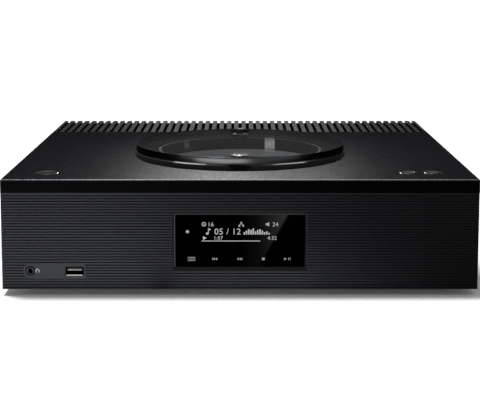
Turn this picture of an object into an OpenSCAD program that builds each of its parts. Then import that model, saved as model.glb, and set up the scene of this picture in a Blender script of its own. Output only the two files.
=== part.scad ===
// Compact disc receiver with a top loading well, a swinging round lid and a rear grille of bars.
// Millimetres. X runs right, Y runs back, Z runs up. The origin is on the table under the middle of the case.

/* [Case] */
// Width across the top plate
body_w = 340; // [324:1:370]
// Depth from the front edge of the top plate to the rear ends of the bars
body_d = 341; // [333:1:371]
// Height of the case from its underside to its top face
body_h = 79.2; // [76:0.2:92]
// Distance from the outer edges of the top plate in to the panels below it
panel_inset = 0.8; // [0.4:0.1:2]
// Distance from the front edge of the top plate back to the face of the front panel
front_setback = 0.6; // [0.2:0.1:1.5]
// Distance from the ends of the bars in to the rear panel
rear_recess = 18; // [17.5:0.5:26]
// Thickness of the side panels and their flanges
side_t = 1.6; // [1.2:0.1:2]
// Thickness of the floor
floor_t = 1.2; // [1:0.1:2]
// Thickness of the rear panel
rear_t = 1.5; // [1:0.1:2]
// Width of the flanges on the side panels
flange_w = 12; // [11:0.5:14]
// Height of the upturned flanges of the floor
tray_h = 7.4; // [6.4:0.2:7.6]

/* [Feet] */
// Height of the feet
foot_h = 4.6; // [4:0.2:10]
// Radius of a foot
foot_r = 14; // [11:0.5:18]
// Distance from the side edge in to the middle of a foot
foot_in_x = 36; // [34:1:50]
// Distance from the front and from the rear panel in to the middle of a foot
foot_in_y = 50; // [45:1:60]

/* [Top plate] */
// Thickness of the top plate
top_t = 3; // [2.4:0.2:4]
// Height of the lip along its front and sides
lip_h = 9.6; // [8:0.2:12]
// Thickness of that lip
lip_t = 3; // [2:0.2:4]
// Bevel along its upper edges
edge_cut = 1.2; // [0.4:0.1:1.6]

/* [Rear grille] */
// Length of the bars
bar_run = 84; // [70:1:95]
// Number of bars
bar_count = 50; // [40:1:54]
// Thickness of a bar
bar_t = 3.9; // [3.2:0.1:4.4]
// Thickness of the web that the bars stand on
bar_web = 2; // [1.6:0.2:4]
// Thickness of the wall that joins the bars at the rear
bar_wall = 4; // [2:0.5:8]
// Distance from the tops of the bars down to that wall
bar_wall_drop = 2.4; // [1:0.2:4]
// Bevel on the rear ends of the bars
bar_cut = 2.4; // [0.5:0.1:3]

/* [Front panel] */
// Thickness of the front panel
front_t = 6; // [5.5:0.5:8]
// Pitch of its level grooves
groove_pitch = 2; // [1.6:0.1:3]
// Width of a groove
groove_w = 1; // [0.6:0.1:1.2]
// Depth of a groove
groove_d = 0.6; // [0.3:0.1:1]
// Width of the display window
window_w = 93.2; // [86:0.2:104]
// Height of the display window
window_h = 39; // [37:0.2:42]
// Height of its middle above the underside of the case
window_z = 34.7; // [33:0.1:37]
// Thickness of the window
window_t = 2; // [1.6:0.2:3]
// Distance from the face of the front panel in to the window
window_sink = 1.2; // [0.8:0.1:1.6]
// Bevel around the window
window_cut = 1.2; // [0.5:0.1:1.6]
// Clearance around the window
window_fit = 0.15; // [0.1:0.05:0.3]
// Width of the wall behind the rim of the window
frame_wall = 3.5; // [2.5:0.1:4]
// Width of the frame around the window, behind the panel
frame_margin = 12; // [10:0.5:14]
// Thickness of that frame
frame_t = 3; // [2.4:0.2:4]
// Width of the lit display
screen_w = 62; // [56:1:64]
// Height of the lit display
screen_h = 17; // [14:0.5:17]
// Height of the middle of the display above the middle of the window
screen_up = 6.8; // [5:0.2:7]
// Pitch of the touch keys under the display
touch_pitch = 17; // [14:0.5:17.5]
// Distance from the middle of the window down to the touch keys
touch_down = 12.5; // [11:0.5:12.5]
// Radius of the standby light
light_r = 1.5; // [1:0.1:2]
// Distance from the left edge of the window to the standby light
light_in = 9.3; // [8.6:0.1:9.6]

/* [Front sockets] */
// Distance from the left end of the front panel to the headphone jack
jack_edge = 20.1; // [19.7:0.1:26]
// Height of both sockets above the underside of the case
jack_z = 13.2; // [12.5:0.1:16]
// Radius of the bore for a headphone plug
jack_bore = 1.8; // [1.75:0.05:3.25]
// Radius of the collar of the headphone jack
jack_r = 3.6; // [3.4:0.1:5]
// Distance from the headphone jack to the memory socket
usb_pitch = 31.5; // [26:0.1:40]
// Width of the shell of the memory socket
usb_w = 13.6; // [13:0.1:14.6]
// Height of the shell of the memory socket
usb_h = 6.6; // [6:0.1:7.4]
// Wall of that shell
usb_wall = 0.45; // [0.3:0.05:0.6]
// Height of the flat field around the sockets
field_h = 11.5; // [10.5:0.5:13]

/* [Disc] */
// Radius of the disc
disc_r = 60; // [56:0.5:62]
// Radius of the hole in the disc
disc_hole = 7.5; // [7.3:0.1:8.2]
// Thickness of the disc
disc_t = 1.2; // [1:0.1:1.5]
// Distance from the front edge of the top plate back to the middle of the disc
disc_setback = 117.5; // [114:0.5:124]
// Distance from the top face down to the top of the disc
disc_drop = 4; // [3.6:0.1:5]
// Clearance around the disc in its well
disc_gap = 2.5; // [2:0.1:4]
// Clearance under the disc in its well
disc_air = 2.5; // [2.2:0.1:4]
// Wall of the well
well_wall = 1.8; // [1.2:0.1:2.4]
// Thickness of the floor of the well
well_floor = 2; // [1.6:0.1:3]
// Width of the flange of the well
well_flange = 15; // [13:0.5:18]

/* [Lid] */
// Radial width of the ring that the lid closes on
ring_w = 18.4; // [18:0.1:22]
// Height of that ring
ring_h = 5; // [4:0.1:7]
// Height of the undercut at the foot of the ring
ring_cut = 1.2; // [0.8:0.1:2]
// Gap between the ring and the lid
lid_gap = 0.6; // [0.4:0.1:0.8]
// Height of the rim of the lid
lid_t = 4.8; // [4.6:0.1:7]
// Distance from the edge of the ring in to the edge of the lid
lid_in = 0.8; // [0.4:0.1:1.6]
// Width of the visible top of the rim
rim_land = 1; // [0.8:0.1:1.4]
// Width of the ledge inside the rim
rim_ledge = 2.4; // [1.5:0.1:3]
// Thickness of that ledge
ledge_t = 1.6; // [1.4:0.1:2]
// Width of the finger tab at the lid
tab_w = 17; // [12:0.5:20]
// Width of the finger tab at its foot
tab_foot = 10; // [6:0.5:12]
// Thickness of the finger tab
tab_t = 2.4; // [1.6:0.1:3]
// Gap between the ring and the finger tab
tab_gap = 0.6; // [0.6:0.1:1]
// Height of the foot of the finger tab above the top plate
tab_lift = 1.2; // [0.8:0.1:2]
// Distance from the inner edge of the ring out to the pivot
pivot_in = 7.6; // [7.2:0.1:7.8]
// Radius of the pivot shaft
pivot_r = 3; // [2.5:0.1:3.5]
// Radius of the dished cap over the pivot
pivot_cap_r = 7.6; // [6.8:0.1:7.6]
// Rise of that cap above the rim
cap_rise = 0.6; // [0.2:0.1:1]

/* [Buttons] */
// Radius of the power button
power_r = 8.2; // [6:0.1:9]
// Radius of the volume buttons
volume_r = 6.2; // [5:0.1:6.4]
// Distance from the side edge in to the outer buttons
button_edge = 30; // [29.5:0.5:36]
// Distance from the front edge back to the buttons
button_setback = 30; // [26:0.5:34]
// Distance between the volume buttons
volume_pitch = 17.6; // [16.5:0.1:18]
// Travel of a button
button_travel = 0.7; // [0.4:0.1:1]
// Clearance around a button
button_fit = 0.25; // [0.2:0.05:0.35]
// Bevel around the hole of a button
button_cut = 0.4; // [0.2:0.1:0.8]
// Depth of the dish in the top of a button
dish = 0.9; // [0.4:0.1:1.1]

/* [Disc mechanism] */
// Radius of the turntable
table_r = 14; // [12:0.5:15]
// Rise of the hub above the disc
hub_rise = 3.4; // [2.8:0.1:4]
// Radius of the balls that hold the disc on the hub
ball_r = 0.9; // [0.7:0.1:1]
// Distance from the middle of the disc to the lens at the start of a disc
lens_in = 22.5; // [22:0.5:24]
// Radius of the lens holder
lens_r = 3.4; // [2.8:0.1:3.4]
// Height of the pickup sled
sled_h = 6.8; // [6:0.1:8]
// Half of the depth of the pickup sled
sled_half = 14.5; // [13.5:0.5:16]
// Radius of the guide rods
rod_r = 1.5; // [1.2:0.1:1.8]
// Thickness of the mechanism plate
plate_t = 1.6; // [1.2:0.1:2]
// Height of the rubber dampers
damper_h = 11; // [10.5:0.5:13]
// Radius of the dampers
damper_r = 5; // [4:0.5:6]
// Radius of the spindle motor
spindle_r = 12; // [10:0.5:14]
// Radius of the feed motor
feed_r = 7; // [5:0.5:7.5]
// Tooth module of the rack and the small wheel of the feed gear
rack_m = 0.8; // [0.7:0.1:0.9]
// Teeth on the small wheel of the feed gear
rack_teeth = 14; // [13:1:16]
// Tooth module of the large wheel of the feed gear and the pinion
gear_m = 0.5; // [0.4:0.05:0.5]
// Teeth on the large wheel of the feed gear
gear_teeth = 34; // [28:1:34]
// Teeth on the pinion of the feed motor
pinion_teeth = 12; // [12:1:14]
// Play between meshing teeth
backlash = 0.14; // [0.1:0.02:0.2]

/* [Boards and supply] */
// Thickness of the circuit boards
board_t = 1.6; // [1.2:0.1:2]
// Height of the posts under the main and power boards
post_h = 8; // [7:0.5:10]
// Width of the power board
power_w = 105; // [95:1:115]
// Depth of the power board
power_d = 128; // [110:1:130]
// Depth of the main board
main_d = 105; // [95:1:115]
// Gap between the two boards
board_gap = 14; // [8:1:20]
// Radius of the supply capacitors
cap_r = 9; // [7:0.5:10]
// Height of the supply capacitors
cap_h = 32; // [26:1:40]
// Width of the heat bridge between the amplifier chip and the grille
bridge_w = 60; // [44:1:70]
// Thickness of the heat bridge
bridge_t = 4; // [3:0.5:5]

/* [Rear sockets] */
// Radius of a loudspeaker post
post_r = 3; // [2.8:0.1:3.6]
// Radius of the bore for a banana plug
banana_r = 2.05; // [2:0.05:2.2]
// Distance between the two posts of a pair
pair_pitch = 19; // [18:0.5:22]
// Distance between the pairs
pair_gap = 28; // [22:1:34]
// Radius of the caps on the posts
cap_knob_r = 6.6; // [6:0.1:7.6]
// Length of the caps on the posts
cap_knob_l = 11.5; // [9:0.5:12]
// Radius of the sleeves of the line jacks
rca_r = 4.15; // [4.1:0.05:4.2]
// Distance between line jacks
rca_pitch = 14; // [13:0.5:18]
// Width of the opening of the network socket
lan_w = 11.7; // [11.6:0.1:12.2]
// Height of the opening of the network socket
lan_h = 8; // [7:0.1:9]

/* [Screws] */
// Radius of the screw shanks
screw_r = 1.5; // [1.2:0.1:1.6]
// Length of the screw shanks
screw_l = 6; // [5.5:0.5:6]
// Radius of the screw heads
head_r = 2.8; // [2.4:0.1:3]
// Height of the screw heads
head_h = 1.8; // [1.4:0.1:2]

/* [Hidden] */
$fn = 96;

// Overlap of a cutting tool past the face that it cuts
over = 1;
// Radial play of a turning or sliding shaft in its bore
run_fit = 0.05;
// Radial play of a screw in a plain hole and in its thread
screw_play = 0.2;
thread_play = 0.05;
// Play between pieces that pass each other
slip = 0.3;

// Levels of the case
z_base = foot_h;
z_floor = z_base + floor_t;
z_top = foot_h + body_h;
z_under = z_top - top_t;
z_lip = z_top - lip_h;
z_flange = z_lip - side_t;

// Faces of the case
y_front = -body_d / 2;
y_end = body_d / 2;
y_panel = y_front + front_setback;
y_behind = y_panel + front_t;
y_bars = y_end - bar_run;
y_rear = y_end - rear_recess;
y_inside = y_rear - rear_t;
x_edge = body_w / 2;
x_side = x_edge - panel_inset;
x_in = x_side - side_t;

// Bars
bar_pitch = (body_w - bar_t) / (bar_count - 1);

// Window and what sits behind it
z_window = z_base + window_z;
y_glass = y_panel + window_sink;
y_glass_back = y_glass + window_t;
y_frame_back = y_behind + frame_t;
y_lamps = y_glass_back + slip;
z_screen = z_window + screen_up;
light_x = -window_w / 2 + light_in;
z_touch = z_window - touch_down;
touch_w = 8;
touch_h = 6;
touch_count = 5;

// Front sockets
x_jack = -x_side + jack_edge;
x_usb = x_jack + usb_pitch;
z_jack = z_base + jack_z;
field_end = 5;
jack_body = [12, 14, 5.5];
usb_l = 15;
jack_board_d = 28;
z_jack_board = z_jack - jack_body[2];

// Disc, well, ring and lid
y_disc = y_front + disc_setback;
z_disc = z_top - disc_drop;
z_seat = z_disc - disc_t;
z_well = z_seat - disc_air;
z_well_under = z_well - well_floor;
well_r = disc_r + disc_gap;
well_out = well_r + well_wall;
ring_in = well_out + slip;
ring_r = ring_in + ring_w;
z_ring = z_top + ring_h;
z_lid = z_ring + lid_gap;
z_lid_top = z_lid + lid_t;
lid_r = ring_r - lid_in;
rim_bulge = 0.6;
rim_in = lid_r - rim_bulge - rim_land;
pane_fit = 0.1;
pane_drop = 0.3;
z_pane = z_lid + ledge_t;
pane_t = lid_t - ledge_t - pane_drop;
well_flange_t = 1.6;
well_screw_r = ring_in + pivot_in;
well_screw_angles = [20, 160, 215, 325];
well_screw_l = 8;

// Lid pivot
y_pivot = y_disc + ring_in + pivot_in;
cap_sink = 1;
cap_fit = 0.15;
z_cap = z_lid_top - cap_sink;
z_cap_top = z_lid_top + cap_rise;
bush_r = 4.6;
bush_flange_r = 6;
pivot_play = 0.1;
bush_flange_t = lid_gap - pivot_play;
bush_below = 6;
z_bush = z_under - well_flange_t - bush_below;
pivot_flange_r = 6.4;
clip_t = 2;
clip_r = 5.6;
shaft_tail = 1.5;

// Finger tab
tab_in = ring_r + tab_gap;
tab_out = tab_in + tab_t;
tab_root = 0.4;

// Buttons and the switches under them
x_power = -(x_edge - button_edge);
x_up = x_edge - button_edge;
x_down = x_up - volume_pitch;
y_button = y_front + button_setback;
button_flange = 1.2;
button_proud = 0.3;
stem_r = 2;
stem_l = 3.2;
z_stem = z_under - button_flange - stem_l;
touch_gap = 0.1;
plunger_h = 1.2;
plunger_r = 1.6;
switch_w = 6.2;
switch_h = 3.4;
z_plunger = z_stem - button_travel - touch_gap;
z_switch = z_plunger - plunger_h;
z_keys = z_switch - switch_h;
boss_r = 3.2;
key_board_d = 18;
key_boss_gap = 1;
left_boss = power_r + button_flange + key_boss_gap + boss_r;
right_boss = volume_pitch / 2 + volume_r + button_flange + key_boss_gap + boss_r;
x_volumes = (x_down + x_up) / 2;

// Disc mechanism
sled_gap = 0.6;
sled_z1 = z_well_under - sled_gap;
sled_z0 = sled_z1 - sled_h;
plate_gap = 1.4;
plate_z1 = sled_z0 - plate_gap;
plate_z0 = plate_z1 - plate_t;
bracket_t = 1.6;
bracket_z1 = plate_z0 - damper_h;
lens_out = disc_r - 1.5;
travel = lens_out - lens_in;
sled_x = [lens_in - 8, lens_in + 14];
rod_off = 11;
rod_z = sled_z0 + 2.8;
lug_t = 4;
lug_half = 3;
lug_x = [sled_x[0] - lug_t - 5.5, sled_x[1] + travel + 1.5];
plate_x = [-44, lug_x[1] + lug_t + 6];
plate_half = 44;
damper_in = 8;
damper_pin = 2.4;
bracket_foot = 12;
bracket_margin = 5;
motor_h = 9.5;
spindle_neck = 3.2;
spindle_shaft = 1;
table_t = 2.4;
hub_r = disc_hole - 0.2;
hub_bevel = 0.8;
ball_up = ball_r + 0.05;
ball_out = 7;
lens_top = 1.4;
lens_sunk = 2;
lens_swing = 0.8;
lens_dome = 0.6;

// Feed gear train
rack_h = 2.6;
rack_bar = 3;
rack_pitch = PI * rack_m;
rack_r = rack_m * rack_teeth / 2;
gear_r = gear_m * gear_teeth / 2;
pinion_r = gear_m * pinion_teeth / 2;
root_share = 1.25;
tip_share = 0.8;
gear_tip_share = 0.7;
pressure = 20;
rack_y = y_disc - sled_half - rack_bar - root_share * rack_m;
gear_x = sled_x[1] - 4.5;
gear_y = rack_y - rack_r;
pinion_x = gear_x + gear_r + pinion_r;
rack_end = 7;
rack_x = [gear_x - travel - rack_end, gear_x + rack_end];
gear_t = 1.8;
gear_gap = 0.4;
gear_z = sled_z0 + rack_h + gear_gap;
axle_r = 1.2;
axle_hub = 3;
hub_over = 0.6;
feed_shaft = 0.8;
feed_neck = 2;
feed_in = 6;

// Boards
z_board = z_floor + post_h;
z_board_top = z_board + board_t;
board_edge = 14;
board_back = 1;
x_power_board = [-(x_in - board_edge), -(x_in - board_edge) + power_w];
x_main_board = [x_power_board[1] + board_gap, x_in - board_edge];
y_boards = y_inside - board_back;
post_out = 3.5;
post_in = 6;
chip_t = 3;
z_chip = z_board_top + chip_t;
x_amp = (x_main_board[0] + x_main_board[1]) / 2;
y_amp = (y_bars + y_inside) / 2;
amp_w = 40;
amp_d = 14;
core_w = 36;
core_d = 30;
core_h = 24;
coil_w = 26;
coil_d = 38;
coil_h = 17;
core_right = 14;
cap_gap = 3;
cap_left = 10;
cap_front = 16;
bridge_pad = 16;
bridge_shelf = 36;

// Rear sockets
x_inlet = x_power_board[0] + 30;
inlet_size = [26, 18, 17];
inlet_rim = 2;
inlet_cavity = [17, 9];
inlet_depth = 12;
z_inlet = z_board_top + inlet_size[2] / 2;
pin_pitch = 8.6;
pin_r = 1.2;
x_terminals = x_main_board[1] - 48;
z_terminals = z_base + 44;
terminal_x = [for (d = [-pair_gap / 2 - pair_pitch, -pair_gap / 2, pair_gap / 2, pair_gap / 2 + pair_pitch])
    x_terminals + d];
terminal_plate = 3;
terminal_collar = 5.3;
terminal_h = 26;
cap_knob_gap = 0.3;
knob_flutes = 14;
flute_r = 0.8;
post_over = 0.7;
post_l = terminal_plate + cap_knob_gap + cap_knob_l + post_over;
banana_l = 14;
post_tail = 8;
x_rca = x_main_board[0] + 26;
rca_body = [2 * rca_pitch, 13, 2 * rca_pitch];
rca_l = 9;
rca_bore = 1.6;
rca_bore_l = 8;
x_lan = x_rca + 44;
lan_body = [16, 15, 13.5];
lan_depth = 11.5;
z_lan = z_board_top + lan_body[2] / 2;
socket_fit = 0.3;

// Places of the screws, each a seat and the turn that points the shank
to_up = [0, 0, 0];
to_down = [180, 0, 0];
to_front = [90, 0, 0];
x_flange = x_in - flange_w / 2;
x_bar_screw = x_edge - bar_t / 2 - bar_pitch;
floor_screw_y = [y_behind + 25, (y_behind + y_inside) / 2, y_inside - 25];
plate_screw_y = [y_front + 20, (y_front + y_bars) / 2, y_bars - 15];
grille_screw_y = [y_bars + 15, y_inside - 12];
flange_screw_z = [z_floor + tray_h + 12, z_flange - 12];
tray_screw_x = [-x_in + 30, 0, x_in - 30];
frame_x = window_w / 2 + frame_margin;
frame_z = window_h / 2 + frame_margin - 3;
catch_x = frame_x + 16;
catch_half = 12;
catch_h = 7;
bracket_x = [plate_x[0] - bracket_margin, plate_x[1] + bracket_margin];

floor_screws = [for (s = [-1, 1], y = floor_screw_y) [s * x_flange, y, z_base]];
plate_screws = [for (s = [-1, 1], y = plate_screw_y) [s * x_bar_screw, y, z_flange]];
grille_screws = [for (s = [-1, 1], y = grille_screw_y) [s * x_bar_screw, y, z_flange]];
rear_screws = concat(
    [for (s = [-1, 1], z = flange_screw_z) [s * x_flange, y_rear, z]],
    [for (x = tray_screw_x) [x, y_rear, z_floor + tray_h / 2]]);
front_screws = concat(
    [for (s = [-1, 1], z = flange_screw_z) [s * x_flange, y_behind + side_t, z]],
    [for (s = [-1, 1]) [s * catch_x, y_behind + floor_t, z_floor + catch_h / 2]]);
frame_screws = [for (s = [-1, 1], t = [-1, 1])
    [s * (frame_x - 5), y_frame_back, z_window + t * (frame_z - 5)]];
well_screws = [for (a = well_screw_angles)
    [well_screw_r * cos(a), y_disc + well_screw_r * sin(a), z_under - well_flange_t]];
key_screws = concat(
    [for (s = [-1, 1]) [x_power, y_button + s * left_boss, z_keys - board_t]],
    [for (s = [-1, 1]) [x_volumes + s * right_boss, y_button, z_keys - board_t]]);
board_screws = concat(
    [for (x = x_power_board, y = [y_boards - power_d, y_boards])
        [in_from(x, x_power_board), in_from(y, [y_boards - power_d, y_boards]), z_board_top]],
    [for (x = x_main_board, y = [y_boards - main_d, y_boards])
        [in_from(x, x_main_board), in_from(y, [y_boards - main_d, y_boards]), z_board_top]]);
jack_screws = [for (x = [x_jack, x_usb]) [x, y_behind + jack_board_d - 4, z_jack_board]];
bracket_screws = [for (s = [-1, 1], t = [-1, 1])
    [s < 0 ? bracket_x[0] - bracket_foot / 2 : bracket_x[1] + bracket_foot / 2,
        y_disc + t * (plate_half - 10), z_floor + bracket_t]];
foot_places = [for (s = [-1, 1], y = [y_front + foot_in_y, y_rear - foot_in_y])
    [s * (x_edge - foot_in_x), y]];

// Moves one end of a span inward by the inset of the board posts
function in_from(v, span) = v == span[0] ? v + post_in : v - post_in;

// Involute of the angle a, in degrees
function inv(a) = tan(a) * 180 / PI - a;

// Half of the angle that a tooth covers at radius r
function tooth_half(r, pitch_r, teeth) =
    90 / teeth - backlash / 4 / pitch_r * 180 / PI + inv(pressure)
        - inv(acos(min(1, pitch_r * cos(pressure) / r)));

function polar(r, a) = [r * cos(a), r * sin(a)];

// Box from three spans
module slab(x, y, z) {
    translate([x[0], y[0], z[0]])
        cube([x[1] - x[0], y[1] - y[0], z[1] - z[0]]);
}

// Round bar up, right and back from a point
module bar_up(p, r, h) {
    translate(p)
        cylinder(r = r, h = h);
}

module bar_right(p, r, h) {
    translate(p)
        rotate([0, 90, 0])
            cylinder(r = r, h = h);
}

module bar_back(p, r, h) {
    translate(p)
        rotate([-90, 0, 0])
            cylinder(r = r, h = h);
}

// Outline in Y and Z drawn out along X
module drawn_x(span) {
    translate([span[0], 0, 0])
        rotate([90, 0, 90])
            linear_extrude(height = span[1] - span[0])
                children();
}

// Outline in X and Z drawn out along Y
module drawn_y(span) {
    translate([0, span[1], 0])
        rotate([90, 0, 0])
            linear_extrude(height = span[1] - span[0])
                children();
}

// Outline in radius and height turned about a vertical line
module turned(y) {
    translate([0, y, 0])
        rotate_extrude()
            children();
}

module screw(seat, turn, l = screw_l) {
    slot_w = head_r / 8;
    slot_l = head_r * 0.6;
    translate(seat)
        rotate(turn)
            difference() {
                union() {
                    cylinder(r = screw_r, h = l);
                    translate([0, 0, -head_h])
                        cylinder(r = head_r, h = head_h);
                }
                for (a = [0, 90])
                    rotate(a)
                        slab([-slot_l, slot_l], [-slot_w, slot_w], [-head_h - over, -head_h / 2]);
            }
}

// Holes for screws, with the play that a plain hole or a thread has
module screw_holes(seats, turn, play, l = screw_l) {
    for (p = seats)
        translate(p)
            rotate(turn)
                translate([0, 0, -over])
                    cylinder(r = screw_r + play, h = l + over + slip);
}

// Spur gear outline with one tooth pointing along +X
module gear_outline(teeth, m, tip) {
    pitch_r = m * teeth / 2;
    base_r = pitch_r * cos(pressure);
    root_r = pitch_r - root_share * m;
    tip_r = pitch_r + tip * m;
    flank = [for (i = [0:4]) max(base_r, root_r) + (tip_r - max(base_r, root_r)) * i / 4];
    points = [for (k = [0:teeth - 1]) let (c = 360 * k / teeth) each concat(
        [polar(root_r, c - tooth_half(flank[0], pitch_r, teeth))],
        [for (r = flank) polar(r, c - tooth_half(r, pitch_r, teeth))],
        [for (i = [4:-1:0]) polar(flank[i], c + tooth_half(flank[i], pitch_r, teeth))],
        [polar(root_r, c + tooth_half(flank[0], pitch_r, teeth))])];
    polygon(points);
}

// Wall of the case on the right, folded from sheet
module side_sheet() {
    slab([x_in, x_side], [y_behind, y_end], [z_base, z_lip]);
    slab([x_in - flange_w, x_side], [y_behind, y_inside], [z_flange, z_lip]);
    slab([x_in - flange_w, x_side], [y_behind, y_inside], [z_floor, z_floor + side_t]);
    slab([x_in - flange_w, x_side], [y_behind, y_behind + side_t], [z_floor + tray_h, z_lip]);
    slab([x_in - flange_w, x_side], [y_inside - side_t, y_inside], [z_floor + tray_h + slip, z_lip]);
}

module side_panel() {
    difference() {
        side_sheet();
        screw_holes(floor_screws, to_up, thread_play);
        screw_holes(plate_screws, to_up, screw_play);
        screw_holes(grille_screws, to_up, screw_play);
        screw_holes(rear_screws, to_front, thread_play);
        screw_holes(front_screws, to_front, screw_play);
    }
}

module left_side_panel() {
    color("#26272a")
        mirror([1, 0, 0])
            side_panel();
}

module right_side_panel() {
    color("#26272a")
        side_panel();
}

module bottom_chassis() {
    vent_l = 44;
    vent_w = 3;
    vent_step = 9;
    vent_rows = 7;
    color("#3a3b3d")
        difference() {
            union() {
                slab([-x_in, x_in], [y_behind, y_inside], [z_base, z_floor]);
                slab([-x_in + flange_w + slip, x_in - flange_w - slip], [y_inside - floor_t, y_inside],
                    [z_base, z_floor + tray_h]);
                for (s = [-1, 1])
                    slab([s * catch_x - catch_half, s * catch_x + catch_half], [y_behind, y_behind + floor_t],
                        [z_base, z_floor + catch_h]);
                for (p = board_screws)
                    bar_up([p[0], p[1], z_base], post_out, z_board - z_base);
                for (p = jack_screws)
                    bar_up([p[0], p[1], z_base], post_out, z_jack_board - board_t - z_base);
            }
            screw_holes(floor_screws, to_up, screw_play);
            screw_holes(rear_screws, to_front, thread_play);
            screw_holes(front_screws, to_front, screw_play);
            screw_holes(board_screws, to_down, thread_play);
            screw_holes(jack_screws, to_down, thread_play);
            screw_holes(bracket_screws, to_down, thread_play);
            for (p = foot_places)
                bar_up([p[0], p[1], z_base - over], screw_r + thread_play, floor_t + 2 * over);
            for (s = [-1, 1], i = [0:vent_rows - 1])
                slab([s * x_in / 2 - vent_l / 2, s * x_in / 2 + vent_l / 2],
                    [y_amp - i * vent_step - vent_w, y_amp - i * vent_step], [z_base - over, z_floor + over]);
        }
}

module rear_panel() {
    color("#1d1d1f")
        difference() {
            slab([-x_in, x_in], [y_inside, y_rear], [z_base, z_lip]);
            screw_holes(rear_screws, to_front, screw_play);
            slab([x_inlet - inlet_size[0] / 2 - socket_fit, x_inlet + inlet_size[0] / 2 + socket_fit],
                [y_inside - over, y_rear + over],
                [z_inlet - inlet_size[2] / 2 - socket_fit, z_inlet + inlet_size[2] / 2 + socket_fit]);
            slab([x_lan - lan_body[0] / 2 - socket_fit, x_lan + lan_body[0] / 2 + socket_fit],
                [y_inside - over, y_rear + over],
                [z_lan - lan_body[2] / 2 - socket_fit, z_lan + lan_body[2] / 2 + socket_fit]);
            for (p = rca_places())
                bar_back([p[0], y_inside - over, p[1]], rca_r + socket_fit, rear_t + 2 * over);
            for (x = terminal_x)
                bar_back([x, y_inside - over, z_terminals], terminal_collar + socket_fit, rear_t + 2 * over);
        }
}

// Face of the front panel with its level grooves, as an outline in Y and Z
module grooved_outline() {
    count = floor((z_lip - z_base - groove_pitch / 2) / groove_pitch);
    first = z_base + groove_pitch / 2;
    slope = groove_d / 2;
    points = [for (i = [0:count - 1]) let (z = first + i * groove_pitch) each [
        [y_panel, z], [y_panel + groove_d, z + slope],
        [y_panel + groove_d, z + groove_w - slope], [y_panel, z + groove_w]]];
    polygon(concat([[y_behind, z_base], [y_panel, z_base]], points, [[y_panel, z_lip], [y_behind, z_lip]]));
}

// Rectangular funnel that opens towards the front
module front_funnel(w, h, cut, y0) {
    intersection() {
        translate([0, 0, z_window - h])
            linear_extrude(height = 2 * h)
                polygon([[-w / 2 - cut, y0], [w / 2 + cut, y0], [w / 2, y0 + cut], [-w / 2, y0 + cut]]);
        drawn_x([-w, w])
            polygon([[y0, z_window - h / 2 - cut], [y0, z_window + h / 2 + cut],
                [y0 + cut, z_window + h / 2], [y0 + cut, z_window - h / 2]]);
    }
}

module front_panel() {
    hole_w = window_w + 2 * window_fit;
    hole_h = window_h + 2 * window_fit;
    field_x = [x_jack - field_end, x_usb + usb_w / 2 + 1];
    color("#2f3033")
        difference() {
            union() {
                drawn_x([-x_side, x_side])
                    grooved_outline();
                slab([field_x[0] + field_h / 2, field_x[1]], [y_panel, y_panel + 2 * groove_d],
                    [z_jack - field_h / 2, z_jack + field_h / 2]);
                bar_back([field_x[0] + field_h / 2, y_panel, z_jack], field_h / 2, 2 * groove_d);
            }
            slab([-hole_w / 2, hole_w / 2], [y_panel - over, y_behind + over],
                [z_window - hole_h / 2, z_window + hole_h / 2]);
            front_funnel(hole_w, hole_h, window_cut, y_panel);
            bar_back([x_jack, y_panel - over, z_jack], jack_r + run_fit, front_t + 2 * over);
            slab([x_usb - usb_w / 2 - window_fit, x_usb + usb_w / 2 + window_fit],
                [y_panel - over, y_behind + over],
                [z_jack - usb_h / 2 - window_fit, z_jack + usb_h / 2 + window_fit]);
            screw_holes(front_screws, to_front, thread_play);
            screw_holes(frame_screws, to_front, thread_play);
        }
}

// Upper outline of the case from the front, with bevelled edges
module bevelled_front() {
    polygon([[-x_edge, z_lip], [-x_edge, z_top - edge_cut], [-x_edge + edge_cut, z_top],
        [x_edge - edge_cut, z_top], [x_edge, z_top - edge_cut], [x_edge, z_lip]]);
}

module bevelled_plan() {
    polygon([[-x_edge, y_bars], [-x_edge, y_front + edge_cut], [-x_edge + edge_cut, y_front],
        [x_edge - edge_cut, y_front], [x_edge, y_front + edge_cut], [x_edge, y_bars]]);
}

module button_hole(x, r) {
    bar_up([x, y_button, z_under - over], r + button_fit, top_t + 2 * over);
    translate([x, y_button, z_top - button_cut])
        cylinder(r1 = r + button_fit, r2 = r + button_fit + button_cut, h = button_cut);
}

module top_plate() {
    color("#35363a")
        difference() {
            union() {
                difference() {
                    intersection() {
                        drawn_y([y_front, y_bars])
                            bevelled_front();
                        translate([0, 0, z_lip])
                            linear_extrude(height = lip_h)
                                bevelled_plan();
                        drawn_x([-x_edge, x_edge])
                            polygon([[y_front, z_lip], [y_front, z_top - edge_cut],
                                [y_front + edge_cut, z_top], [y_bars, z_top], [y_bars, z_lip]]);
                    }
                    slab([-x_edge + lip_t, x_edge - lip_t], [y_front + lip_t, y_bars + over],
                        [z_lip - over, z_under]);
                }
                for (p = plate_screws)
                    bar_up([p[0], p[1], z_lip], boss_r, z_under - z_lip);
                for (p = key_screws)
                    bar_up([p[0], p[1], z_keys], boss_r, z_under - z_keys);
            }
            bar_up([0, y_disc, z_under - over], ring_in, top_t + 2 * over);
            bar_up([0, y_pivot, z_under - over], bush_r + run_fit, top_t + 2 * over);
            button_hole(x_power, power_r);
            button_hole(x_down, volume_r);
            button_hole(x_up, volume_r);
            screw_holes(plate_screws, to_up, thread_play);
            screw_holes(key_screws, to_up, thread_play);
            screw_holes(well_screws, to_up, screw_play, well_screw_l);
        }
}

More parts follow.
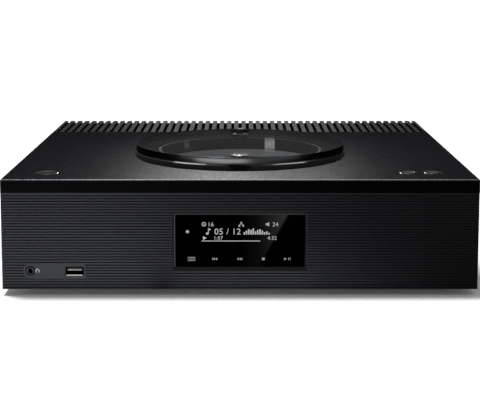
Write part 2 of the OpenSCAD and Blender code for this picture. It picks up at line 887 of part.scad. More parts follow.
module rear_grille() {
    color("#5d5e61")
        difference() {
            intersection() {
                union() {
                    slab([-x_edge, x_edge], [y_bars, y_end], [z_lip, z_lip + bar_web]);
                    slab([-x_edge, x_edge], [y_end - bar_wall, y_end], [z_lip, z_top - bar_wall_drop]);
                    for (i = [0:bar_count - 1])
                        translate([-x_edge + i * bar_pitch, 0, 0])
                            slab([0, bar_t], [y_bars, y_end], [z_lip, z_top]);
                }
                drawn_y([y_bars, y_end])
                    bevelled_front();
                drawn_x([-x_edge, x_edge])
                    polygon([[y_bars, z_lip], [y_bars, z_top], [y_end - bar_cut, z_top],
                        [y_end, z_top - bar_cut], [y_end, z_lip]]);
            }
            screw_holes(grille_screws, to_up, thread_play);
        }
}

module feet() {
    bevel = 1;
    recess_r = head_r + 0.6;
    recess_h = foot_h / 2;
    color("#151515")
        for (p = foot_places)
            translate([p[0], p[1], 0])
                rotate_extrude()
                    polygon([[recess_r, 0], [foot_r - bevel, 0], [foot_r, bevel], [foot_r, foot_h],
                        [screw_r + screw_play, foot_h], [screw_r + screw_play, recess_h],
                        [recess_r, recess_h]]);
}

module foot_screws() {
    color("silver")
        for (p = foot_places)
            screw([p[0], p[1], foot_h / 2], to_up);
}

module case_screws() {
    color("#8a8a8a") {
        for (p = concat(floor_screws, plate_screws, grille_screws, key_screws))
            screw(p, to_up);
        for (p = well_screws)
            screw(p, to_up, well_screw_l);
        for (p = concat(rear_screws, front_screws, frame_screws))
            screw(p, to_front);
        for (p = concat(board_screws, jack_screws, bracket_screws))
            screw(p, to_down);
    }
}

module lid_seat_ring() {
    foot_in = 1.2;
    bevel = 0.8;
    color("#17171a")
        difference() {
            turned(y_disc)
                polygon([[ring_in, z_top], [ring_r - foot_in, z_top], [ring_r - foot_in, z_top + ring_cut],
                    [ring_r, z_top + ring_cut], [ring_r, z_ring - bevel], [ring_r - bevel, z_ring],
                    [ring_in, z_ring]]);
            bar_up([0, y_pivot, z_top - over], bush_r + run_fit, ring_h + 2 * over);
            screw_holes(well_screws, to_up, thread_play, well_screw_l);
        }
}

module disc_well() {
    hole_r = table_r + 2;
    slot_half = lens_r + 0.8;
    slot_end = lens_out + lens_r + 0.5;
    color("#101012")
        difference() {
            turned(y_disc)
                polygon([[hole_r, z_well_under], [well_out, z_well_under],
                    [well_out, z_under - well_flange_t], [well_out + well_flange, z_under - well_flange_t],
                    [well_out + well_flange, z_under], [well_out, z_under], [well_out, z_ring],
                    [well_r, z_ring], [well_r, z_well], [hole_r, z_well]]);
            slab([0, slot_end], [y_disc - slot_half, y_disc + slot_half],
                [z_well_under - over, z_well + over]);
            bar_up([0, y_pivot, z_under - well_flange_t - over], bush_r + run_fit, well_flange_t + 2 * over);
            screw_holes(well_screws, to_up, screw_play, well_screw_l);
        }
}

module lid_rim() {
    steps = 5;
    crown = lid_t - ledge_t;
    belly = [for (i = [0:steps]) let (a = 90 * i / steps)
        [lid_r - rim_bulge * (1 - cos(a)), z_pane + crown * sin(a)]];
    color("#77787c")
        difference() {
            turned(y_disc)
                polygon(concat([[rim_in - rim_ledge, z_lid], [lid_r, z_lid]], belly,
                    [[rim_in, z_lid_top], [rim_in, z_pane], [rim_in - rim_ledge, z_pane]]));
            bar_up([0, y_pivot, z_lid - over], pivot_flange_r + slip, z_pane - z_lid + over);
        }
}

module lid_window() {
    color("#2b2e33", 0.4)
        difference() {
            bar_up([0, y_disc, z_pane], rim_in - pane_fit, pane_t);
            bar_up([0, y_pivot, z_pane - over], pivot_r + pane_fit, pane_t + 2 * over);
            bar_up([0, y_pivot, z_cap], pivot_cap_r + cap_fit, pane_t);
        }
}

module lid_tab() {
    color("#0d0d0e")
        intersection() {
            turned(y_disc)
                polygon([[rim_in - rim_ledge, z_lid - tab_root], [tab_in, z_lid - tab_root],
                    [tab_in, z_top + tab_lift], [tab_out, z_top + tab_lift], [tab_out, z_lid],
                    [rim_in - rim_ledge, z_lid]]);
            drawn_y([y_disc - tab_out - over, y_disc - ring_in])
                polygon([[-tab_foot / 2, z_top + tab_lift], [tab_foot / 2, z_top + tab_lift],
                    [tab_w / 2, z_lid - tab_root], [tab_w / 2, z_lid], [-tab_w / 2, z_lid],
                    [-tab_w / 2, z_lid - tab_root]]);
        }
}

// Ball that cuts a dish of the set depth across a circle of radius r
module dish_ball(p, r) {
    ball = (r * r + dish * dish) / (2 * dish);
    translate([p[0], p[1], p[2] + ball - dish])
        sphere(r = ball, $fn = 160);
}

module pivot_cap() {
    land = 0.8;
    color("#8f9094")
        difference() {
            bar_up([0, y_pivot, z_cap], pivot_cap_r, z_cap_top - z_cap);
            dish_ball([0, y_pivot, z_cap_top], pivot_cap_r - land);
        }
}

module pivot_shaft() {
    z_low = z_bush - pivot_play - clip_t - shaft_tail;
    color("#b5b6b8")
        turned(y_pivot)
            polygon([[0, z_low], [pivot_r, z_low], [pivot_r, z_lid], [pivot_flange_r, z_lid],
                [pivot_flange_r, z_pane], [pivot_r, z_pane], [pivot_r, z_cap], [0, z_cap]]);
}

module pivot_bush() {
    bore = pivot_r + run_fit;
    color("#b08d4a")
        turned(y_pivot)
            polygon([[bore, z_bush], [bush_r, z_bush], [bush_r, z_ring], [bush_flange_r, z_ring],
                [bush_flange_r, z_ring + bush_flange_t], [bore, z_ring + bush_flange_t]]);
}

module pivot_clip() {
    z_clip = z_bush - pivot_play - clip_t;
    color("#a0a0a0")
        difference() {
            bar_up([0, y_pivot, z_clip], clip_r, clip_t);
            bar_up([0, y_pivot, z_clip - over], pivot_r + run_fit, clip_t + 2 * over);
        }
}

module button(x, r) {
    land = 0.7;
    bevel = 0.3;
    z_face = z_top + button_proud;
    difference() {
        translate([x, y_button, 0])
            rotate_extrude()
                polygon([[0, z_stem], [stem_r, z_stem], [stem_r, z_under - button_flange],
                    [r + button_flange, z_under - button_flange], [r + button_flange, z_under], [r, z_under],
                    [r, z_face - bevel], [r - bevel, z_face], [0, z_face]]);
        dish_ball([x, y_button, z_face], r - land);
    }
}

module power_button() {
    color("#4c4d51")
        button(x_power, power_r);
}

module volume_down_button() {
    color("#4c4d51")
        button(x_down, volume_r);
}

module volume_up_button() {
    color("#4c4d51")
        button(x_up, volume_r);
}

module key_boards() {
    rim = boss_r + 1;
    color("#1e4a33")
        difference() {
            union() {
                slab([x_power - key_board_d / 2, x_power + key_board_d / 2],
                    [y_button - left_boss - rim, y_button + left_boss + rim], [z_keys - board_t, z_keys]);
                slab([x_volumes - right_boss - rim, x_volumes + right_boss + rim],
                    [y_button - key_board_d / 2, y_button + key_board_d / 2], [z_keys - board_t, z_keys]);
            }
            screw_holes(key_screws, to_up, screw_play);
        }
}

module key_switches() {
    color("#202020")
        for (x = [x_power, x_down, x_up]) {
            slab([x - switch_w / 2, x + switch_w / 2], [y_button - switch_w / 2, y_button + switch_w / 2],
                [z_keys, z_switch]);
            bar_up([x, y_button, z_keys], plunger_r, z_plunger - z_keys);
        }
}

module display_window() {
    bevel = 0.3;
    color("#050506")
        union() {
            slab([-window_w / 2, window_w / 2], [y_glass + bevel, y_glass_back],
                [z_window - window_h / 2, z_window + window_h / 2]);
            slab([-window_w / 2 + bevel, window_w / 2 - bevel], [y_glass, y_glass_back],
                [z_window - window_h / 2 + bevel, z_window + window_h / 2 - bevel]);
        }
}

module display_frame() {
    color("#222222")
        difference() {
            union() {
                slab([-frame_x, frame_x], [y_behind, y_frame_back], [z_window - frame_z, z_window + frame_z]);
                slab([-window_w / 2, window_w / 2], [y_glass_back, y_frame_back],
                    [z_window - window_h / 2, z_window + window_h / 2]);
            }
            slab([-window_w / 2 + frame_wall, window_w / 2 - frame_wall],
                [y_glass_back - over, y_frame_back + over],
                [z_window - window_h / 2 + frame_wall, z_window + window_h / 2 - frame_wall]);
            screw_holes(frame_screws, to_front, screw_play);
        }
}

module display_board() {
    rim = 1.5;
    color("#1e4a33")
        union() {
            slab([-window_w / 2 + rim, window_w / 2 - rim], [y_frame_back, y_frame_back + board_t],
                [z_window - window_h / 2 + rim, z_window + window_h / 2 - rim]);
            for (i = [0:touch_count - 1])
                let (x = (i - (touch_count - 1) / 2) * touch_pitch)
                    slab([x - touch_w / 2, x + touch_w / 2], [y_lamps, y_frame_back],
                        [z_touch - touch_h / 2, z_touch + touch_h / 2]);
        }
}

module display_module() {
    glass_in = 2;
    color("#0b0c10")
        union() {
            slab([-screen_w / 2, screen_w / 2], [y_lamps + window_t, y_frame_back],
                [z_screen - screen_h / 2, z_screen + screen_h / 2]);
            slab([-screen_w / 2 + glass_in, screen_w / 2 - glass_in], [y_lamps, y_frame_back],
                [z_screen - screen_h / 2 + glass_in, z_screen + screen_h / 2 - glass_in]);
        }
}

module standby_light() {
    color("#9fc4ff")
        bar_back([light_x, y_lamps, z_screen], light_r, y_frame_back - y_lamps);
}

module headphone_jack() {
    color("#1b1b1d")
        difference() {
            union() {
                bar_back([x_jack, y_panel, z_jack], jack_r, front_t + over);
                slab([x_jack - jack_body[0] / 2, x_jack + jack_body[0] / 2],
                    [y_behind, y_behind + jack_body[1]],
                    [z_jack - jack_body[2], z_jack + jack_body[2]]);
            }
            bar_back([x_jack, y_panel - over, z_jack], jack_bore, front_t + jack_body[1] - 4 + over);
        }
}

module usb_shell() {
    leg_l = 4;
    leg_y = y_behind + 3;
    color("#b9bbbe")
        difference() {
            union() {
                slab([x_usb - usb_w / 2, x_usb + usb_w / 2], [y_panel, y_panel + usb_l],
                    [z_jack - usb_h / 2, z_jack + usb_h / 2]);
                for (s = [-1, 1])
                    let (x = x_usb + s * (usb_w / 2 - usb_wall / 2))
                        slab([x - usb_wall / 2, x + usb_wall / 2], [leg_y, leg_y + leg_l],
                            [z_jack_board, z_jack]);
            }
            slab([x_usb - usb_w / 2 + usb_wall, x_usb + usb_w / 2 - usb_wall],
                [y_panel - over, y_panel + usb_l + over],
                [z_jack - usb_h / 2 + usb_wall, z_jack + usb_h / 2 - usb_wall]);
        }
}

module usb_tongue() {
    back_t = 3;
    tongue_in = 1;
    tongue_side = 0.8;
    tongue_t = 1.9;
    tongue_top = usb_h / 2 - usb_wall - 0.8;
    inner = usb_wall + run_fit;
    color("#e8e9ea")
        union() {
            slab([x_usb - usb_w / 2 + inner, x_usb + usb_w / 2 - inner],
                [y_panel + usb_l - back_t, y_panel + usb_l],
                [z_jack - usb_h / 2 + inner, z_jack + usb_h / 2 - inner]);
            slab([x_usb - usb_w / 2 + inner + tongue_side, x_usb + usb_w / 2 - inner - tongue_side],
                [y_panel + tongue_in, y_panel + usb_l],
                [z_jack + tongue_top - tongue_t, z_jack + tongue_top]);
        }
}

module jack_board() {
    rim = 8;
    color("#1e4a33")
        difference() {
            slab([x_jack - rim, x_usb + usb_w / 2 + rim / 2], [y_behind + slip, y_behind + jack_board_d],
                [z_jack_board - board_t, z_jack_board]);
            screw_holes(jack_screws, to_down, screw_play);
        }
}

function damper_places() = [for (x = [plate_x[0] + damper_in, plate_x[1] - damper_in], s = [-1, 1])
    [x, y_disc + s * (plate_half - damper_in)]];

module mechanism_bracket() {
    color("#8b8d90")
        difference() {
            union() {
                slab(bracket_x, [y_disc - plate_half, y_disc + plate_half],
                    [bracket_z1 - bracket_t, bracket_z1]);
                slab([bracket_x[0], bracket_x[0] + bracket_t], [y_disc - plate_half, y_disc + plate_half],
                    [z_floor, bracket_z1]);
                slab([bracket_x[1] - bracket_t, bracket_x[1]], [y_disc - plate_half, y_disc + plate_half],
                    [z_floor, bracket_z1]);
                slab([bracket_x[0] - bracket_foot, bracket_x[0] + bracket_t],
                    [y_disc - plate_half, y_disc + plate_half], [z_floor, z_floor + bracket_t]);
                slab([bracket_x[1] - bracket_t, bracket_x[1] + bracket_foot],
                    [y_disc - plate_half, y_disc + plate_half], [z_floor, z_floor + bracket_t]);
            }
            screw_holes(bracket_screws, to_down, screw_play);
        }
}

module mechanism_dampers() {
    pin_over = 1.2;
    color("#181818")
        for (p = damper_places())
            union() {
                bar_up([p[0], p[1], bracket_z1], damper_r, damper_h);
                bar_up([p[0], p[1], bracket_z1], damper_pin, damper_h + plate_t + pin_over);
            }
}

module mechanism_plate() {
    color("#9a9ca0")
        difference() {
            union() {
                slab(plate_x, [y_disc - plate_half, y_disc + plate_half], [plate_z0, plate_z1]);
                for (x = lug_x, s = [-1, 1])
                    slab([x, x + lug_t], [y_disc + s * rod_off - lug_half, y_disc + s * rod_off + lug_half],
                        [plate_z0, rod_z + lug_half]);
                bar_up([gear_x, gear_y, plate_z0], axle_r, gear_z + gear_t + hub_over + plate_gap - plate_z0);
            }
            for (s = [-1, 1])
                bar_right([lug_x[0] - over, y_disc + s * rod_off, rod_z], rod_r + run_fit,
                    lug_x[1] + lug_t - lug_x[0] + 2 * over);
            for (p = damper_places())
                bar_up([p[0], p[1], plate_z0 - over], damper_pin + run_fit, plate_t + 2 * over);
            bar_up([0, y_disc, plate_z0 - over], spindle_neck + run_fit, plate_t + 2 * over);
            bar_up([pinion_x, gear_y, plate_z0 - over], feed_neck + run_fit, plate_t + 2 * over);
        }
}

module spindle_motor() {
    neck_over = 2;
    color("#a9abae")
        difference() {
            union() {
                bar_up([0, y_disc, plate_z0 - motor_h], spindle_r, motor_h);
                bar_up([0, y_disc, plate_z0 - motor_h], spindle_neck, motor_h + plate_t + neck_over);
            }
            bar_up([0, y_disc, plate_z0 - feed_in - slip], spindle_shaft + run_fit,
                motor_h + plate_t + neck_over);
        }
}

module turntable() {
    z_tip = z_disc + hub_rise;
    color("#2a2a2c")
        difference() {
            turned(y_disc)
                polygon([[0, plate_z0 - feed_in], [spindle_shaft, plate_z0 - feed_in],
                    [spindle_shaft, z_seat - table_t], [table_r, z_seat - table_t], [table_r, z_seat],
                    [hub_r, z_seat], [hub_r, z_tip - hub_bevel], [hub_r - hub_bevel, z_tip],
                    [hub_r / 2, z_tip], [hub_r / 2 - hub_bevel, z_tip - hub_bevel], [0, z_tip - hub_bevel]]);
            for (a = [90, 210, 330])
                translate([0, y_disc, z_disc + ball_up])
                    rotate([0, 0, a])
                        bar_right([ball_out - 2 * ball_r, 0, 0], ball_r + run_fit, 4 * ball_r);
        }
}

module hub_grip_balls() {
    color("#d8d8d8")
        for (a = [90, 210, 330])
            translate([ball_out * cos(a), y_disc + ball_out * sin(a), z_disc + ball_up])
                sphere(r = ball_r, $fn = 48);
}

module compact_disc() {
    color("#9aa4aa")
        difference() {
            bar_up([0, y_disc, z_seat], disc_r, disc_t);
            bar_up([0, y_disc, z_seat - over], disc_hole, disc_t + 2 * over);
        }
}

module guide_rods() {
    color("#c8cacc")
        for (s = [-1, 1])
            bar_right([lug_x[0], y_disc + s * rod_off, rod_z], rod_r, lug_x[1] + lug_t - lug_x[0]);
}

module pickup_sled() {
    half_tooth = rack_pitch / 4 - backlash / 4;
    root = root_share * rack_m;
    tip = tip_share * rack_m;
    low = -floor((travel + rack_end - 1) / rack_pitch);
    high = floor((rack_end - 1) / rack_pitch);
    color("#2c2d30")
        difference() {
            union() {
                slab(sled_x, [y_disc - sled_half, y_disc + sled_half], [sled_z0, sled_z1]);
                slab(rack_x, [rack_y + root, y_disc - sled_half], [sled_z0, sled_z0 + rack_h]);
                for (k = [low:high])
                    translate([gear_x + k * rack_pitch, rack_y, sled_z0])
                        linear_extrude(height = rack_h)
                            polygon([[-half_tooth - (root + slip) * tan(pressure), root + slip],
                                [-half_tooth + tip * tan(pressure), -tip],
                                [half_tooth - tip * tan(pressure), -tip],
                                [half_tooth + (root + slip) * tan(pressure), root + slip]]);
            }
            for (s = [-1, 1])
                bar_right([sled_x[0] - over, y_disc + s * rod_off, rod_z], rod_r + run_fit,
                    sled_x[1] - sled_x[0] + 2 * over);
            bar_up([lens_in, y_disc, sled_z1 - lens_sunk - lens_swing], lens_r + slip,
                lens_sunk + lens_swing + over);
        }
}

module pickup_lens() {
    z_holder = sled_z1 - lens_sunk;
    z_face = z_seat - lens_top;
    color("#3f5f86")
        translate([lens_in, y_disc, 0])
            rotate_extrude()
                polygon([[0, z_holder], [lens_r, z_holder], [lens_r, z_face - lens_dome],
                    [lens_r - lens_dome, z_face - lens_dome], [lens_r - 2 * lens_dome, z_face], [0, z_face]]);
}

module feed_motor() {
    neck_over = 0.4;
    color("#a9abae")
        difference() {
            union() {
                bar_up([pinion_x, gear_y, plate_z0 - motor_h], feed_r, motor_h);
                bar_up([pinion_x, gear_y, plate_z0 - motor_h], feed_neck, motor_h + plate_t + neck_over);
            }
            bar_up([pinion_x, gear_y, plate_z0 - feed_in - slip], feed_shaft + run_fit,
                motor_h + plate_t + over);
        }
}

module feed_pinion() {
    color("#c9b36a")
        union() {
            translate([pinion_x, gear_y, gear_z - run_fit])
                linear_extrude(height = gear_t + 2 * run_fit)
                    rotate(180 + 180 / pinion_teeth)
                        gear_outline(pinion_teeth, gear_m, gear_tip_share);
            bar_up([pinion_x, gear_y, plate_z0 - feed_in], feed_shaft,
                gear_z + gear_t + hub_over - plate_z0 + feed_in);
        }
}

module feed_gear() {
    color("#e3e0d4")
        difference() {
            union() {
                translate([gear_x, gear_y, sled_z0])
                    linear_extrude(height = rack_h)
                        rotate(90 + 180 / rack_teeth)
                            gear_outline(rack_teeth, rack_m, tip_share);
                translate([gear_x, gear_y, gear_z])
                    linear_extrude(height = gear_t)
                        gear_outline(gear_teeth, gear_m, gear_tip_share);
                bar_up([gear_x, gear_y, plate_z1 + slip], axle_hub,
                    gear_z + gear_t + hub_over - plate_z1 - slip);
            }
            bar_up([gear_x, gear_y, plate_z0], axle_r + run_fit,
                gear_z + gear_t + hub_over + over - plate_z0);
        }
}

module main_board() {
    amp = [amp_w, amp_d];
    chips = [[18, 18, 22, -62], [12, 26, 62, -40], [26, 26, -38, -70]];
    color("#1e4a33")
        difference() {
            union() {
                slab(x_main_board, [y_boards - main_d, y_boards], [z_board, z_board_top]);
                slab([x_amp - amp[0] / 2, x_amp + amp[0] / 2], [y_amp - amp[1] / 2, y_amp + amp[1] / 2],
                    [z_board, z_chip]);
                for (c = chips)
                    slab([x_amp + c[2] - c[0] / 2, x_amp + c[2] + c[0] / 2],
                        [y_boards + c[3] - c[1] / 2, y_boards + c[3] + c[1] / 2], [z_board, z_chip]);
            }
            screw_holes(board_screws, to_down, screw_play);
        }
}

module power_board() {
    color("#6b5b33")
        difference() {
            slab(x_power_board, [y_boards - power_d, y_boards], [z_board, z_board_top]);
            screw_holes(board_screws, to_down, screw_play);
        }
}

module power_transformer() {
    core = [core_w, core_d, core_h];
    coil = [coil_w, coil_d, coil_h];
    x = (x_power_board[0] + x_power_board[1]) / 2 + core_right;
    y = y_boards - power_d / 2;
    color("#3b3a38")
        union() {
            slab([x - core[0] / 2, x + core[0] / 2], [y - core[1] / 2, y + core[1] / 2],
                [z_board_top, z_board_top + core[2]]);
            slab([x - coil[0] / 2, x + coil[0] / 2], [y - coil[1] / 2, y + coil[1] / 2],
                [z_board_top, z_board_top + coil[2]]);
        }
}

module supply_capacitors() {
    step = 2 * cap_r + cap_gap;
    x = x_power_board[0] + cap_r + cap_left;
    y = y_boards - power_d + cap_r + cap_front;
    bevel = 1;
    color("#1f2a44")
        for (i = [0:2])
            translate([x + i * step, y, z_board_top])
                rotate_extrude()
                    polygon([[0, 0], [cap_r, 0], [cap_r, cap_h - bevel], [cap_r - bevel, cap_h], [0, cap_h]]);
}

module heat_bridge() {
    pad = bridge_pad;
    shelf = bridge_shelf;
    color("#aeb0b3")
        drawn_x([x_amp - bridge_w / 2, x_amp + bridge_w / 2])
            polygon([[y_amp - pad / 2, z_chip], [y_amp + pad / 2, z_chip],
                [y_amp + pad / 2, z_chip + bridge_t], [y_amp + bridge_t / 2, z_chip + bridge_t],
                [y_amp + bridge_t / 2, z_lip - bridge_t],
                [y_amp + shelf / 2, z_lip - bridge_t], [y_amp + shelf / 2, z_lip], [y_amp - shelf / 2, z_lip],
                [y_amp - shelf / 2, z_lip - bridge_t], [y_amp - bridge_t / 2, z_lip - bridge_t],
                [y_amp - bridge_t / 2, z_chip + bridge_t], [y_amp - pad / 2, z_chip + bridge_t]]);
}

module ac_inlet() {
    y_mouth = y_rear + inlet_rim;
    cavity_r = inlet_cavity[1] / 2;
    cavity_x = (inlet_cavity[0] - inlet_cavity[1]) / 2;
    pin_short = 2;
    color("#141414")
        union() {
            difference() {
                union() {
                    slab([x_inlet - inlet_size[0] / 2, x_inlet + inlet_size[0] / 2],
                        [y_rear - inlet_size[1], y_mouth],
                        [z_inlet - inlet_size[2] / 2, z_inlet + inlet_size[2] / 2]);
                    slab([x_inlet - inlet_size[0] / 2 - inlet_rim, x_inlet + inlet_size[0] / 2 + inlet_rim],
                        [y_rear, y_mouth],
                        [z_inlet - inlet_size[2] / 2 - inlet_rim, z_inlet + inlet_size[2] / 2 + inlet_rim]);
                }
                slab([x_inlet - cavity_x, x_inlet + cavity_x], [y_mouth - inlet_depth, y_mouth + over],
                    [z_inlet - cavity_r, z_inlet + cavity_r]);
                for (s = [-1, 1])
                    bar_back([x_inlet + s * cavity_x, y_mouth - inlet_depth, z_inlet], cavity_r,
                        inlet_depth + over);
            }
            for (s = [-1, 1])
                bar_back([x_inlet + s * pin_pitch / 2, y_mouth - inlet_depth - over, z_inlet], pin_r,
                    inlet_depth + over - pin_short);
        }
}

module terminal_block() {
    end = 13;
    color("#161616")
        difference() {
            union() {
                slab([min(terminal_x) - end, max(terminal_x) + end], [y_rear, y_rear + terminal_plate],
                    [z_terminals - terminal_h / 2, z_terminals + terminal_h / 2]);
                for (x = terminal_x)
                    bar_back([x, y_inside, z_terminals], terminal_collar, rear_t + over);
            }
            for (x = terminal_x)
                bar_back([x, y_inside - over, z_terminals], post_r + run_fit,
                    rear_t + terminal_plate + 2 * over);
        }
}

module terminal_posts() {
    nut_r = 6.4;
    nut_t = 3;
    color("#c7a24a")
        for (x = terminal_x)
            difference() {
                union() {
                    bar_back([x, y_inside - post_tail, z_terminals], post_r, post_tail + rear_t + post_l);
                    translate([x, y_inside, z_terminals])
                        rotate([90, 0, 0])
                            cylinder(r = nut_r, h = nut_t, $fn = 6);
                }
                bar_back([x, y_rear + post_l - banana_l, z_terminals], banana_r, banana_l + over);
            }
}

module terminal_cap(i) {
    bevel = 0.8;
    y_cap = y_rear + terminal_plate + cap_knob_gap;
    difference() {
        translate([terminal_x[i], y_cap, z_terminals])
            rotate([-90, 0, 0])
                rotate_extrude()
                    polygon([[post_r + run_fit, 0], [cap_knob_r - bevel, 0], [cap_knob_r, bevel],
                        [cap_knob_r, cap_knob_l - bevel], [cap_knob_r - bevel, cap_knob_l],
                        [post_r + run_fit, cap_knob_l]]);
        for (k = [0:knob_flutes - 1])
            let (a = 360 * k / knob_flutes)
                bar_back(
                    [terminal_x[i] + cap_knob_r * cos(a), y_cap - over, z_terminals + cap_knob_r * sin(a)],
                    flute_r, cap_knob_l + 2 * over);
    }
}

module terminal_cap_1() {
    color("#a01818")
        terminal_cap(0);
}

module terminal_cap_2() {
    color("#202020")
        terminal_cap(1);
}

module terminal_cap_3() {
    color("#a01818")
        terminal_cap(2);
}

module terminal_cap_4() {
    color("#202020")
        terminal_cap(3);
}

function rca_places() = [for (s = [-1, 1], t = [-1, 1])
    [x_rca + s * rca_pitch / 2, z_board_top + rca_body[2] / 2 + t * rca_pitch / 2]];

module rca_jacks() {
    color("#c9c2ae")
        difference() {
            union() {
                slab([x_rca - rca_body[0] / 2, x_rca + rca_body[0] / 2], [y_inside - rca_body[1], y_inside],
                    [z_board_top, z_board_top + rca_body[2]]);
                for (p = rca_places())
                    bar_back([p[0], y_inside - over, p[1]], rca_r, rear_t + rca_l + over);
            }
            for (p = rca_places())
                bar_back([p[0], y_rear + rca_l - rca_bore_l, p[1]], rca_bore, rca_bore_l + over);
        }
}

module lan_socket() {
    color("#b9bbbe")
        difference() {
            slab([x_lan - lan_body[0] / 2, x_lan + lan_body[0] / 2], [y_rear - lan_body[1], y_rear],
                [z_lan - lan_body[2] / 2, z_lan + lan_body[2] / 2]);
            slab([x_lan - lan_w / 2, x_lan + lan_w / 2], [y_rear - lan_depth, y_rear + over],
                [z_lan - lan_h / 2, z_lan + lan_h / 2]);
        }
}

bottom_chassis();
rear_panel();
left_side_panel();
right_side_panel();
front_panel();
top_plate();
rear_grille();
feet();
foot_screws();
case_screws();
lid_seat_ring();
disc_well();
lid_rim();
lid_window();
lid_tab();
pivot_cap();
pivot_shaft();
pivot_bush();
pivot_clip();
power_button();
volume_down_button();
volume_up_button();
key_boards();
key_switches();
display_window();
display_frame();
display_board();
display_module();
standby_light();
headphone_jack();
usb_shell();
usb_tongue();
jack_board();
mechanism_bracket();
mechanism_dampers();
mechanism_plate();
spindle_motor();
turntable();
hub_grip_balls();
compact_disc();
guide_rods();
pickup_sled();
pickup_lens();
feed_motor();
feed_pinion();
feed_gear();
main_board();
power_board();
power_transformer();
supply_capacitors();
heat_bridge();
ac_inlet();
terminal_block();
terminal_posts();
terminal_cap_1();
terminal_cap_2();
terminal_cap_3();
terminal_cap_4();
rca_jacks();
lan_socket();
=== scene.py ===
import math

import bpy
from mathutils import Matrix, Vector


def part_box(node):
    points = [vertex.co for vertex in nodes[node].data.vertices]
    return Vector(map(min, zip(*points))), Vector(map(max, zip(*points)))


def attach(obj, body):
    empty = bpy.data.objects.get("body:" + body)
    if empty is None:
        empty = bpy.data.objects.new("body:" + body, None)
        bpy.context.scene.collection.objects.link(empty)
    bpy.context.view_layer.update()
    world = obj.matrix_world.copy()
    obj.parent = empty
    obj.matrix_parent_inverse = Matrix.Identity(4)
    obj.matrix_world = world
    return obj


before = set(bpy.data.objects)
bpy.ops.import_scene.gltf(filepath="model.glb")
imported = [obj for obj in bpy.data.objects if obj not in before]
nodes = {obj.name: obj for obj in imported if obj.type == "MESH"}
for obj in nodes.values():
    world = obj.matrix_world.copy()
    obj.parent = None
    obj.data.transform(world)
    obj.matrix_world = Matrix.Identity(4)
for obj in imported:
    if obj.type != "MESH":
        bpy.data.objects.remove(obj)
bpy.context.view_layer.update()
mm = 0.001
discMiddle = (0, -53 * mm, 0)  # axis of the disc
print("frame loaded with", len(nodes), "nodes")


class Wire:  # one output of a shader node, so that shader sums read as plain sums
    def __init__(self, sheet, socket):
        self.sheet = sheet
        self.socket = socket

    def sum(self, operation, first, second=0.0):
        return self.sheet.add("Math", {"operation": operation}, {0: first, 1: second})

    def __add__(self, other):
        return self.sum("ADD", self, other)

    def __radd__(self, other):
        return self.sum("ADD", other, self)

    def __sub__(self, other):
        return self.sum("SUBTRACT", self, other)

    def __rsub__(self, other):
        return self.sum("SUBTRACT", other, self)

    def __mul__(self, other):
        return self.sum("MULTIPLY", self, other)

    def __rmul__(self, other):
        return self.sum("MULTIPLY", other, self)

    def __truediv__(self, other):
        return self.sum("DIVIDE", self, other)

    def __gt__(self, other):
        return self.sum("GREATER_THAN", self, other)

    def __lt__(self, other):
        return self.sum("LESS_THAN", self, other)

    def __abs__(self):
        return self.sum("ABSOLUTE", self)


class Sheet:  # one node tree, filled from an empty start
    def __init__(self, tree):
        self.tree = tree
        tree.nodes.clear()

    def add(self, kind, settings=None, sockets=None, out=0):
        node = self.tree.nodes.new("ShaderNode" + kind)
        for key, value in (settings or {}).items():
            if key == "stops":
                ramp = node.color_ramp
                while len(ramp.elements) < len(value):
                    ramp.elements.new(0.5)
                for element, (place, tone) in zip(ramp.elements, value):
                    element.position = place
                    element.color = (*tone, 1)
            else:
                setattr(node, key, value)
        for key, value in (sockets or {}).items():
            target = node.inputs[key]
            if isinstance(value, Wire):
                self.tree.links.new(value.socket, target)
            elif target.type == "RGBA":
                target.default_value = (*value, 1)
            else:
                target.default_value = value
        return Wire(self, node.outputs[out]) if node.outputs else None

    def place(self):  # position on the piece in metres
        return self.add("TexCoord", out="Object")

    def split(self, vector):
        return [self.add("SeparateXYZ", {}, {0: vector}, out=axis) for axis in range(3)]

    def around(self, vector, middle, scale=(1, 1, 1)):  # moves a pattern to a middle, then stretches it
        fromMiddle = self.add("VectorMath", {"operation": "SUBTRACT"}, {0: vector, 1: middle})
        return self.add("VectorMath", {"operation": "MULTIPLY"}, {0: fromMiddle, 1: scale})

    def noise(self, vector, scale, detail=2.0):
        return self.add("TexNoise", {}, {"Vector": vector, "Scale": scale, "Detail": detail})

    def rings(self, vector, scale, uneven=0.0, detail=2.0):  # fine rings about the origin
        return self.add("TexWave", {"wave_type": "RINGS", "rings_direction": "SPHERICAL"},
                        {"Vector": vector, "Scale": scale, "Distortion": uneven, "Detail": detail}, out="Fac")

    def blend(self, amount, first, second):  # colour mix
        return self.add("Mix", {"data_type": "RGBA"}, {0: amount, 6: first, 7: second}, out=2)

    def vary(self, amount, tone, spread):  # a tone between two shares of itself
        return self.blend(amount, share(tone, spread[0]), share(tone, spread[1]))

    def bump(self, height, strength, depth):
        return self.add("Bump", {}, {"Height": height, "Strength": strength, "Distance": depth})

    def close(self, sockets):
        shader = self.add("BsdfPrincipled", {}, sockets)
        self.add("OutputMaterial", {}, {"Surface": shader})


def share(tone, part):
    return tuple(min(1.0, c * part) for c in tone)


def newFinish(name):
    material = bpy.data.materials.new(name)
    material.use_nodes = True
    return material, Sheet(material.node_tree)


plainLook = {"stretch": (1, 1, 1), "cloud": 40, "spread": (0.8, 1.2), "roughSpread": 0.12, "metal": 0.0, "gloss": 0.5,
             "bump": 0.15, "depth": 0.05 * mm, "clearRough": 0.08}


